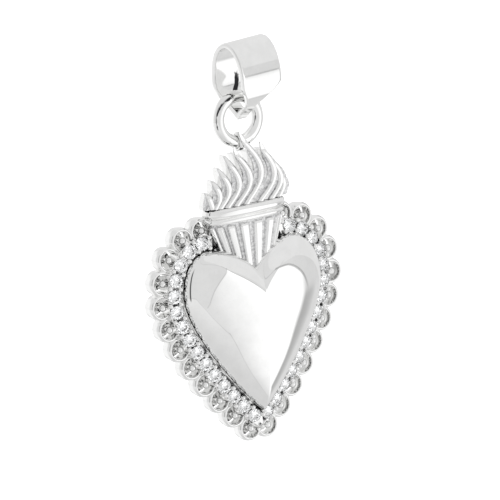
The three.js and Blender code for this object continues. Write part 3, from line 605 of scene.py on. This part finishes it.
def heart_dome():
    foot, inner = heart_outline(HEART_INSET), heart_outline(HEART_INSET + HEART_WALL)
    swell = (1 - smooth(foot[:, 1], *SWELL_ENDS))[:, None]
    outer = foot + (heart_outline(HEART_INSET - HEART_SWELL) - foot) * swell
    shares = np.cos(np.linspace(0, math.pi / 2, DOME_STEPS + 1)[:-1]) ** (2 / DOME_POWER)
    start = HEART_SHOULDER - HEART_ROUNDING
    # Painted shade on the skirt: black at the back, and gone a little above its foot
    skirt, skirt_proud = [at_depth(foot, HEART_BACK)], [0.0]
    for t in np.linspace(0, 1, SKIRT_STEPS):
        swollen = foot + (outer - foot) * math.sin(t * math.pi / 2)
        skirt.append(at_depth(swollen, mix(SWELL_FORWARD, start - SKIRT_STAND, t)))
        skirt_proud.append(FOOT_PROUD + float(smooth(t, *FOOT_PROUD_ENDS)))
    skin = dome_rings(outer, start, HEART_CREST, shares)
    lining = [*dome_rings(inner, HEART_SHOULDER, HEART_CREST - HEART_WALL, shares[::LINING_EVERY])[::-1]]
    lining.append(at_depth(inner, HEART_BACK))
    proud = np.array([*[BACK_PROUD] * len(lining), *skirt_proud, *[1.0] * len(skin)])
    form = Form().loft(np.array([*lining, *skirt, *skin]), proud=proud[:, None])
    make("heart_dome_skin", form, DOME, "pendant", ["heart_dome"], sharp=50)


# Stone rail and rim

def rail_top(inset):
    return GIRDLE_FORWARD - GIRDLE_STAND + (inset - RAIL_INSET) * math.tan(RAIL_TILT)


def ball_profile(radius, height, steps):
    """The upper part of a ball, for a lathe."""
    angle = np.linspace(BALL_START, math.pi / 2, steps)
    return [(radius * max(math.cos(a), AXIS), height + radius * math.sin(a)) for a in angle]


def stone_rail():
    ledge_top, ledge_inset, e = BACK + LEDGE, HEART_INSET - GAP, RAIL_CHAMFER
    section = [  # inset, forward and proud; the lower prouds are painted shade, darkest on the ledge in the channel by the heart
        (RAIL_OUTER, rail_top(RAIL_OUTER) - e, 0.9), (RAIL_OUTER + RAIL_DRAFT, BACK, 0.7),
        (RAIL_OUTER + RAIL_WALL, BACK, 0.9), (RAIL_OUTER + RAIL_WALL, RAIL_CEILING, 0.9),
        (RAIL_INNER - RAIL_WALL, RAIL_CEILING, 0.9), (RAIL_INNER - RAIL_WALL, BACK, 0.9),
        (ledge_inset, BACK, 0.7), (ledge_inset, ledge_top, 0.36), (RAIL_INNER - RAIL_DRAFT, ledge_top, 0.45),
        (RAIL_INNER, rail_top(RAIL_INNER) - e, 0.55), (RAIL_INNER - e, rail_top(RAIL_INNER - e), 0.55),
        (RAIL_OUTER + e, rail_top(RAIL_OUTER + e), 0.55),
    ]
    along = np.linspace(-1, 1, 2 * RAIL_STEPS + 1)
    rings = np.zeros((len(along), len(section), 3))
    for j, (inset, forward, _) in enumerate(section):
        point = place_on(line_inside(inset), np.abs(along))[0]
        rings[:, j] = at_depth(point * np.stack([np.sign(along), np.ones(len(along))], 1), forward)
    body = Form().loft(rings, proud=[proud for _, _, proud in section])
    obj = make("stone_rail_body", body, BRIGHT_CUT, "pendant", ["stone_rail"], sharp=35)
    radius = STONE_DIAMETER / 2 + SEAT_CLEARANCE
    seat = [*SEAT_BORE, (radius, SEAT_SHELF), (radius + SEAT_FLARE, SEAT_TOP), (AXIS, SEAT_TOP)]
    cutters = Form()
    for _, place in stone_places():
        cutters.lathe(seat, SEAT_STEPS, place)
    cut(obj, add_heart_room(cutters, TOOL_BACK, TOOL_FRONT))


def add_prong(form, place, offset):
    """A prong beside the rail's middle line, with its head clean and painted shade on its shaft."""
    shaft = [(AXIS, -GIRDLE_STAND - PRONG_ROOT), (PRONG_RADIUS, -GIRDLE_STAND - PRONG_ROOT), (PRONG_RADIUS, 0.0)]
    moved = place.copy()
    moved[:3, 3] += place[:3, 0] * offset
    head = ball_profile(PRONG_HEAD, PRONG_RISE - PRONG_HEAD, PRONG_STEPS)
    form.lathe(shaft + head, PRONG_TURN_STEPS, moved, proud=[*PRONG_PROUD, *[1.0] * (PRONG_STEPS - 1)])


def prongs_and_beads():
    form = Form()
    add_prong(form, rail_place(1, 0), PRONG_OFFSET)
    add_prong(form, rail_place(1, 0), -TIP_PRONG_OFFSET)
    for i in range(STONES):
        for side in (-1, 1):
            place = rail_place(side, FIRST_STONE + (i + 0.5) * STONE_PITCH)
            add_prong(form, place, PRONG_OFFSET)
            add_prong(form, place, -PRONG_OFFSET)
    side_prong = [(AXIS, -SIDE_PRONG_ROOT), (PRONG_RADIUS, -SIDE_PRONG_ROOT)]
    side_prong += ball_profile(PRONG_HEAD, SIDE_PRONG_RISE, PRONG_STEPS)
    for side in (-1, 1):
        place = facing_forward(side * SIDE_PRONG_ACROSS, CROWN_BACK, SIDE_PRONG_UP)
        form.lathe(side_prong, PRONG_TURN_STEPS, place)
    foot = [
        (POST_RADIUS + (POST_FOOT - POST_RADIUS) * (1 - t) ** 3, BACK + LEDGE * t)
        for t in np.linspace(0, 1, POST_STEPS)
    ]
    post = [(AXIS, BACK), *foot, (POST_RADIUS, BACK + LEDGE), *ball_profile(BEAD_RADIUS, BEAD_FORWARD, BEAD_STEPS)]
    proud = [*np.linspace(*FOOT_OF_POST_PROUD, POST_STEPS + 1), POST_PROUD, *[1.0] * BEAD_STEPS]
    for place, _ in arch_places():
        form.lathe(post, POST_TURN_STEPS, place, proud=proud)
    make("prongs_and_beads", form, BRIGHT_CUT, "pendant", ["stone_rail"], sharp=50)


def crown_seat_plate():
    ledge_end, side_end = line_inside(HEART_INSET - GAP)[-1], line_inside(RAIL_OUTER)[-1]
    top = BAND_BOTTOM + PLATE_RISE
    outline = mirrored(np.array([
        (0, CLEFT_UP), (ledge_end[0] + PLATE_LAP, CLEFT_UP), (ledge_end[0] + PLATE_LAP, ledge_end[1]),
        (side_end[0] - GAP, side_end[1]), (side_end[0] - GAP, top), (0, top),
    ]))
    faces = [at_depth(outline, BACK), at_depth(outline, CROWN_BACK - GAP)]
    # The plate's front is painted shade, near black
    plate = Form().loft(faces, proud=[[BACK_PROUD], [PLATE_PROUD]])
    obj = make("crown_seat_plate", plate, POLISHED, "pendant", ["stone_rail"], sharp=35)
    cut(obj, add_heart_room(Form(), TOOL_BACK, TOOL_FRONT))


def scalloped_rim():
    inner, crest, outer = ARCH_OUTER - ARCH_WALL, ARCH_OUTER - ARCH_WALL * ARCH_CREST_SHARE, ARCH_OUTER
    turn = np.linspace(0, math.pi / 2, ARCH_ROUND_STEPS)
    shoulder = [(crest + (outer - crest) * math.cos(t), ARCH_TOP - ARCH_SHOULDER * (1 - math.sin(t))) for t in turn]
    lip = [(crest - (crest - inner) * math.sin(t), ARCH_TOP - ARCH_LIP * (1 - math.cos(t))) for t in turn[2::2]]
    profile = [(inner, BACK), (outer - ARCH_TAPER, BACK), *shoulder, *lip]
    proud = [ARCH_BACK_PROUD, ARCH_FOOT_PROUD, *[1.0] * (len(shoulder) + len(lip))]
    form = Form()
    for place, outward in arch_places():
        form.lathe(profile, ARCH_STEPS, place, -outward - ARCH_HALF_TURN, 2 * ARCH_HALF_TURN, proud)
    make("scalloped_rim_arches", form, POLISHED, "pendant", ["scalloped_rim"], sharp=50)


# Stones

def stone_ring(count, radius, height, turn=0.0):
    angles = [(i + turn) * 2 * math.pi / count for i in range(count)]
    return [(radius * math.cos(a), radius * math.sin(a), height) for a in angles]


def brilliant():
    """A round brilliant with its girdle's upper edge at height 0: 57 facets and the girdle's own."""
    radius = STONE_DIAMETER / 2
    table, star, lower = radius * TABLE_SHARE, radius * STAR_SHARE, radius * LOWER_SHARE
    cosine = math.cos(math.pi / 8)
    star_height = STONE_CROWN * (radius - star * cosine) / (radius - table)
    lower_height = -STONE_GIRDLE - (STONE_PAVILION - STONE_GIRDLE) * (1 - LOWER_SHARE / cosine)
    points = stone_ring(8, table, STONE_CROWN) + stone_ring(8, star, star_height, 0.5)
    points += stone_ring(16, radius, 0) + stone_ring(16, radius, -STONE_GIRDLE)
    points += stone_ring(8, lower, lower_height, 0.5) + [(0, 0, -STONE_PAVILION)]
    # First points of the table, the stars, the girdle's upper and lower edge and the lower facets, and the tip
    T, S, G, H, L, TIP = 0, 8, 16, 32, 48, 56
    faces = [tuple(range(T, S))]
    for i in range(8):
        even, odd, next_even, next_one, last_one = 2 * i, 2 * i + 1, (2 * i + 2) % 16, (i + 1) % 8, (i + 7) % 8
        faces += [
            (T + i, S + i, T + next_one), (T + i, S + last_one, G + even, S + i),
            (S + i, G + even, G + odd), (S + i, G + odd, G + next_even),
            (G + even, H + even, H + odd, G + odd), (G + odd, H + odd, H + next_even, G + next_even),
            (H + even, L + i, H + odd), (H + odd, L + i, H + next_even), (H + even, L + last_one, TIP, L + i),
        ]
    return np.array(points), faces


def stones():
    points, faces = brilliant()
    for name, place in stone_places():
        form = Form().add(put(points, place), faces)
        make(name + "_facets", form, STONE, "pendant", [name], faceted=True)


# Crown

def crown_section(half, depth, up, out, steps):
    """Half an ellipse forward of the crown's flat back; out is a number or one for each step."""
    angle = np.linspace(-math.pi / 2, math.pi / 2, steps + 1)
    across = (half + out) * np.sin(angle)
    forward = CROWN_BACK + (depth + out) * np.maximum(np.cos(angle), 0) ** SQUARENESS
    return np.stack([across, forward, np.full(len(angle), up)], 1)


def crown_basket():
    rings, proud = [], []
    wave = smooth(np.abs(np.sin(np.linspace(0, BASKET_RIBS, BASKET_STEPS + 1) * math.pi)), *RIB_FLANK)
    for t in 1 - np.linspace(1, 0, BASKET_RINGS) ** BASKET_CROWDING:
        rib = wave * smooth((1 - t) * (BAND_BOTTOM - BASKET_BOTTOM), *RIB_FADE)
        half, depth = mix(BASKET_HALF, CROWN_HALF, t), mix(BASKET_DEPTH, CROWN_DEPTH, t)
        up = mix(BASKET_BOTTOM, BAND_BOTTOM - GAP, t)
        rings.append(crown_section(half, depth, up, RIB_HEIGHT * rib, BASKET_STEPS))
        proud.append(rib)
    form = Form().loft(rings, proud=np.array(proud))
    obj = make("crown_basket_ribs", form, CAST, "pendant", ["crown_basket"], sharp=50)
    cut(obj, add_heart_room(Form(), BASKET_TOOL_BACK, HEART_CREST), sharp=50)


def crown_band():
    rings, bottom = [], BAND_BOTTOM
    for height, bulge in STRANDS:
        rings = rings[:-1]
        for t in np.linspace(0, 1, STRAND_STEPS):
            out = GROOVE + (bulge - GROOVE) * math.sqrt(max(math.sin(t * math.pi), 0))
            rings.append(crown_section(CROWN_HALF, CROWN_DEPTH, bottom + t * height, out, BAND_STEPS))
        bottom += height
    make("crown_band_strands", Form().loft(rings), POLISHED, "pendant", ["crown_band"], sharp=60)


def add_tongue(form, number):
    """One tongue of flame, numbered from the tallest, 0, to the left (negative) and to the right."""
    share = -number / LEFT_TONGUES if number < 0 else number / RIGHT_TONGUES
    angle = mix(APEX_ANGLE, np.sign(number) * math.pi / 2, share)
    bottom, tip = BAND_TOP + GAP, mix(APEX_UP, SHOULDER_UP, share) - (LOWERED_BY if number == LOWERED_TONGUE else 0)
    start = FLAME_HALF * math.sin(angle)
    end = mix(APEX_ACROSS, -LEFT_REACH, share) if number < 0 else mix(APEX_ACROSS, RIGHT_REACH, math.sqrt(share))
    sway = FLAME_SWAY * (1 - share) ** SWAY_FADE
    front = CROWN_BACK + mix(EDGE_DEPTH, FLAME_DEPTH, math.cos(angle))
    # From the shelf up, a tongue's back makes room for the loop behind the tip
    room = RING_FORWARD + LOOP_HOLE + LOOP_WIRE + GAP
    shelf = RING_SEAT - LOOP_HOLE - LOOP_WIRE - GAP
    heights = np.linspace(bottom, tip, TONGUE_RINGS)
    if tip > shelf:
        heights = np.sort(np.concatenate([heights, [shelf - HAIR, shelf]]))
    across = np.linspace(-1, 1, TONGUE_STEPS)
    rings, proud = [], []
    for up in heights:
        t = (up - bottom) / (tip - bottom)
        middle = mix(start, end, t) + sway * math.sin(math.pi * t**SWAY_LEAN) ** SWAY_POWER
        half = mix(TONGUE_WIDTH, TONGUE_TIP, t**TONGUE_TAPER) / 2
        crest = np.exp(-(np.abs(across * half / min(RIDGE_WIDTH * 0.5, half)) ** RIDGE_POWER))
        back, least = CROWN_BACK + BACK_STEP * (number % BACK_STEPS), LEAST_DEPTH
        if up >= shelf:
            back, least = room, LEAST_DEPTH_AT_LOOP
        x = middle + across * half
        crown = front - TIP_THINNING * (front - CROWN_BACK) * t**THINNING_POWER
        f = np.maximum(crown - mix(RIDGE, RIDGE * RIDGE_END_SHARE, t * t) * (1 - crest), back + least)
        left, right = [(x[i], mix(f[i], back, TONGUE_EDGE), up) for i in (0, -1)]
        rings.append([(x[0], back, up), left, *zip(x, f, np.full(len(x), up)), right, (x[-1], back, up)])
        proud.append([TONGUE_PROUD] * 2 + [*crest] + [TONGUE_PROUD] * 2)
    form.loft(rings, proud=np.array(proud))


def flames():
    form = Form()
    for number in range(-LEFT_TONGUES, RIGHT_TONGUES + 1):
        add_tongue(form, number)
    make("flame_tongues", form, CAST, "pendant", ["flames"], sharp=50)


# Loop, jump ring and bail

def painted_dark_reflections():
    """Painted dark reflections along the jump ring's wire, as strokes: a long one down its left side, a short one
    on its right.
    """
    a = np.linspace(0, 360, RING_STEPS, endpoint=False)[:, None]
    b = np.linspace(0, 360, WIRE_STEPS, endpoint=False)[None, :]
    left = smooth(a, *STROKE_COMES) * (1 - smooth(a, *STROKE_GOES))
    right = 1 - smooth(np.minimum(a, 360 - a), *SHORT_STROKE_GOES)
    width = np.where(left > 0, STROKE_WIDTH + STROKE_SPREAD * (1 - smooth(a, *STROKE_NARROWS)), STROKE_WIDTH)
    stroke = np.exp(-(((b - STROKE_MIDDLE - STROKE_WANDER * np.cos(np.radians(a))) / width) ** 2))
    return 1 - stroke * np.maximum(left, right)


def links():
    behind_tip = place_at((0, RING_FORWARD, RING_SEAT), FORWARD, UP, ACROSS)
    loop = Form().torus(
        LOOP_HOLE + LOOP_WIRE / 2, LOOP_WIRE / 2, behind_tip, LOOP_STEPS, LOOP_WIRE_STEPS, width=LOOP_STRETCH
    )
    make("apex_loop_eyelet", loop, POLISHED, "pendant", ["apex_loop"])
    upright = place_at((RING_ACROSS, RING_FORWARD, RING_UP), ACROSS, UP, FORWARD)
    # The wire's proud values are painted dark reflections
    ring = Form().torus(RING_RADIUS, RING_WIRE / 2, upright, RING_STEPS, WIRE_STEPS, proud=painted_dark_reflections())
    make("jump_ring_wire", ring, POLISHED, "jump_ring", ["jump_ring"])


def bail_path():
    """The middle of the strap, as (forward, up) from its fold, and its outward way, longer at a corner."""
    lean = np.array([math.sin(BAIL_ANGLE), math.cos(BAIL_ANGLE)])
    knee, widest = lean * BAIL_LEG, np.array([BAIL_DEPTH, BAIL_WIDEST])
    knee_handle = knee + lean * (BAIL_DEPTH - knee[0]) / lean[0]
    side = bezier(knee, knee_handle, (BAIL_DEPTH, (BAIL_WIDEST + knee[1]) / 2), widest, BAIL_STEPS)
    angle = np.linspace(0, math.pi / 2, BAIL_STEPS + 1)[1:]
    over = np.stack([BAIL_DEPTH * np.cos(angle), BAIL_WIDEST + (BAIL_HEIGHT - BAIL_WIDEST) * np.sin(angle)], 1)
    front = np.concatenate([[[0, 0]], side, over])
    path = np.concatenate([front, front[1:-1][::-1] * (-1, 1)])
    into, out = unit(path - np.roll(path, 1, 0)), unit(np.roll(path, -1, 0) - path)
    mean = unit(into + out)
    mitre = 1 / np.maximum((mean * out).sum(1), LEAST_MITRE)
    return path, np.stack([mean[:, 1], -mean[:, 0]], 1) * mitre[:, None]


def bail():
    skin, edge = BAIL_THICKNESS / 2, BAIL_EDGE
    rings, proud, quarter = [], [], np.linspace(math.pi / 2, 0, BAIL_EDGE_STEPS)
    for (forward, up), (out_forward, out_up) in zip(*bail_path()):
        flare = float(smooth(up, *BAIL_FLARE))
        half, middle = mix(BAIL_FOOT_WIDTH, BAIL_TOP_WIDTH, flare) / 2, BAIL_SKEW * flare
        ease = EASE * float(1 - smooth(math.hypot(forward - EASE_FORWARD, up - EASE_UP), *EASE_REACH))
        right = [(half - edge + edge * math.cos(a), skin - edge + edge * math.sin(a)) for a in quarter]
        right += [(x, ease - off) for x, off in right[::-1]]
        inside = [(x, ease - skin) for x in np.linspace(half - edge, edge - half, BAIL_FACE_STEPS)[1:-1]]
        outside = [(x, skin) for x in np.linspace(edge - half, half - edge, BAIL_FACE_STEPS)[1:-1]]
        section = right + inside + [(-x, off) for x, off in right[::-1]] + outside
        rings.append([(middle + x, forward + out_forward * off, up + out_up * off) for x, off in section])
        # A painted dark reflection: a strip down the middle of the back leg's inside
        painted_reflection = STRIP_STRENGTH * float(smooth(up, *STRIP_COMES) * (1 - smooth(up, *STRIP_GOES))) * (forward < 0)
        proud.append([
            1 if off > INSIDE_FROM * skin else 1 - painted_reflection * float(1 - smooth(abs(x - STRIP_ACROSS), *STRIP_SIDES))
            for x, off in section
        ])
    x, f, up = np.moveaxis(np.array(rings), -1, 0)
    c, s = math.cos(BAIL_YAW), math.sin(BAIL_YAW)
    turned = np.stack([RING_ACROSS + BAIL_OFFSET + c * x + s * f, RING_FORWARD - s * x + c * f, FOOT_UP + up], -1)
    form = Form().loft(turned, closed=True, proud=proud)
    make("bail_strap", form, POLISHED, "bail", ["bail"], sharp=50)


heart_dome()
stone_rail()
prongs_and_beads()
crown_seat_plate()
scalloped_rim()
stones()
crown_basket()
crown_band()
flames()
links()
bail()


# Camera at the photograph's angle, with the place of the heart's lowest beads in the picture

AZIMUTH, ELEVATION, ROLL = math.radians(-32), math.radians(12), math.radians(4.9)
PICTURE, PIXELS_PER_MM, ORIGIN_U, ORIGIN_V = 500, 12.7, 259.5, 426.25
SENSOR, DISTANCE, CLIP = 36, 0.6, (0.01, 20)  # the sensor in millimetres, the others in metres


def camera():
    level = math.cos(ELEVATION)
    toward = Vector((-math.sin(AZIMUTH) * level, math.cos(AZIMUTH) * level, -math.sin(ELEVATION)))
    right = Vector((math.cos(AZIMUTH), math.sin(AZIMUTH), 0))
    up = right.cross(toward)
    data = bpy.data.cameras.new("camera")
    data.sensor_width = SENSOR
    data.lens = SENSOR * DISTANCE / (PICTURE / PIXELS_PER_MM * MM)
    data.clip_start, data.clip_end = CLIP
    obj = link_object("camera", data)
    roll = Matrix.Rotation(ROLL, 3, toward)
    r, u = roll @ right, roll @ up
    origin = Vector(world([(0, 0, 0)])[0].tolist())
    aside, above = (PICTURE / 2 - ORIGIN_U) / PIXELS_PER_MM, (ORIGIN_V - PICTURE / 2) / PIXELS_PER_MM
    middle = origin + (r * aside + u * above) * MM
    place = Matrix((r, u, -toward)).transposed().to_4x4()
    place.translation = middle - toward * DISTANCE
    obj.matrix_world = place
    bpy.context.scene.camera = obj


camera()


# Floor and light

FLOOR_DROP, FLOOR_HALF = 0.35, 4.0  # metres
PAPER_DARK, PAPER_PALE, PAPER_ROUGH = (0.95, 0.95, 0.95, 1), (0.97, 0.97, 0.97, 1), 0.8
LIGHT_STRENGTH, LIGHT_SPREAD = 2.4, math.radians(60)
# Brightnesses round the piece; a pair changes from one side of its surface to the other
WALL, UPPER_WALL, RIGHT_WALL, RIGHT_WALL_ABOVE = 0.745, 0.81, (0.47, 0.74), 0.71
WINDOW, WINDOW_CORNER, TABLE, BEHIND = (0.76, 1.14), 0.72, (0.69, 0.835), 1.0
DARK_POST, SEAM = 0.1, 0.2


def stage():
    low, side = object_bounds()[0].z - FLOOR_DROP, FLOOR_HALF
    mesh = bpy.data.meshes.new("floor")
    corners = [(-side, -side, low), (side, -side, low), (side, side, low), (-side, side, low)]
    mesh.from_pydata(corners, [], [(0, 1, 2, 3)])
    floor = link_object("floor", mesh)
    m = Surface("floor_paper")
    grain = m.noise(scale=60, detail=4, rough=0.6)
    m.set("Base Color", m.mix("RGBA", m.ramp(grain, (0.3, 0.7)), PAPER_DARK, PAPER_PALE))
    m.set("Roughness", PAPER_ROUGH)
    floor.data.materials.append(m.material)
    floor.visible_glossy = False
    floor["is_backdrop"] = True


def floor_light():
    """A broad soft light from above, that whitens the floor and leaves no spot on the metal."""
    data = bpy.data.lights.new("floor_light", "SUN")
    data.energy, data.angle = LIGHT_STRENGTH, LIGHT_SPREAD
    link_object("floor_light", data).visible_glossy = False


class Surround(Nodes):
    """Light from all round, by turn, in degrees from the front to the right, and rise, in degrees up."""

    def __init__(self):
        studio = bpy.data.worlds.new("studio")
        studio.use_nodes = True
        bpy.context.scene.world = studio
        super().__init__(studio.node_tree, "Generated")
        parts = self.node("ShaderNodeSeparateXYZ")
        self.give(self.place, parts.inputs[0])
        x, y, z = parts.outputs
        self.turn = self.times(self.math("ARCTAN2", x, self.times(y, -1)), 180 / math.pi)
        self.rise = self.times(self.math("ARCSINE", z, 0), 180 / math.pi)

    def slant(self, share, offset):
        """Degrees above a slanting line: its rise is the offset at turn 0, and falls by a share of the turn."""
        return self.add(self.rise, self.times(self.turn, share), -offset)

    def between(self, value, ends, edges):
        """1 between two ends, falling to 0 over the width of each edge."""
        (low, high), (low_edge, high_edge) = ends, edges
        up = self.ramp(value, (low - low_edge / 2, low + low_edge / 2))
        return self.times(up, self.ramp(value, (high - high_edge / 2, high + high_edge / 2), FALL))

    def lay(self, under, mask, over):
        """Lays a brightness over another where a mask is 1."""
        return self.mix("FLOAT", mask, under, over)


def surround():
    """A wide window of light to the front right, grey walls, a paler table, and thin dark seams between them."""
    m = Surround()
    turn, rise = m.turn, m.rise
    crisp = (-0.3, 0.3)
    left_edge, top_edge, ceiling = m.slant(-0.935, -2.8), m.slant(0.947, 47.7), m.slant(0.52, 37.6)
    right_edge = m.add(turn, m.times(rise, 0.5))

    right = m.lay(m.ramp(right_edge, (55, 78), RIGHT_WALL), m.ramp(rise, (-17, -9)), RIGHT_WALL_ABOVE)
    walls = m.lay(WALL, m.ramp(turn, (40, 60)), right)
    walls = m.lay(walls, m.times(m.ramp(ceiling, crisp), m.ramp(top_edge, crisp)), UPPER_WALL)

    window = m.times(
        m.ramp(left_edge, crisp, FALL), m.ramp(top_edge, (-0.4, 0.4), FALL),
        m.ramp(right_edge, (50, 55), FALL), m.ramp(rise, (-60, -36)),
    )
    light = m.lay(walls, window, m.ramp(turn, (-12, 34), WINDOW))
    corner = m.times(m.ramp(turn, (46, 56)), m.ramp(rise, (-42, -33), FALL))
    light = m.lay(light, corner, WINDOW_CORNER)

    table_edge = m.add(rise, m.ramp(turn, (-46, 0), (8, 29)))
    table = m.times(m.ramp(table_edge, crisp, FALL), m.ramp(turn, (-2.2, -1.8), FALL))
    light = m.lay(light, table, m.ramp(rise, (-62, -15), TABLE))
    behind = m.times(m.ramp(turn, (-138, -120), FALL), m.between(rise, (-55, 30), (25, 25)))
    light = m.lay(light, behind, BEHIND)

    dark_posts = m.math(
        "MAXIMUM",
        m.times(m.between(turn, (118, 132), (6, 6)), m.between(rise, (-10, 30), (10, 20))),
        m.times(m.between(turn, (-83, -71), (3, 3)), m.between(rise, (-12, 40), (8, 20))),
    )
    light = m.lay(light, dark_posts, DARK_POST)

    seams = (  # where across the seam, where along it, and how strong
        (m.between(left_edge, (-0.6, 0.6), (0.6, 0.6)), m.between(rise, (-17, 25), (2, 2)), 0.3),
        (m.between(top_edge, (-0.8, 0.8), (0.8, 0.8)), m.between(turn, (22, 60), (2, 12)), 0.6),
        (m.between(table_edge, crisp, (0.3, 0.3)), m.ramp(turn, (-3, -1), FALL), 0.35),
        (m.between(turn, (-2.3, -1.7), (0.3, 0.3)), m.between(rise, (-60, -28), (8, 1)), 0.35),
        (m.between(ceiling, (-0.5, 0.5), (0.5, 0.5)), m.between(turn, (-60, 24), (20, 2)), 0.3),
    )
    for line, reach, strength in seams:
        light = m.lay(light, m.times(line, reach, strength), SEAM)
    m.give(light, m.tree.nodes["Background"].inputs["Color"])


stage()
floor_light()
surround()
bpy.context.scene.view_settings.view_transform = "Standard"
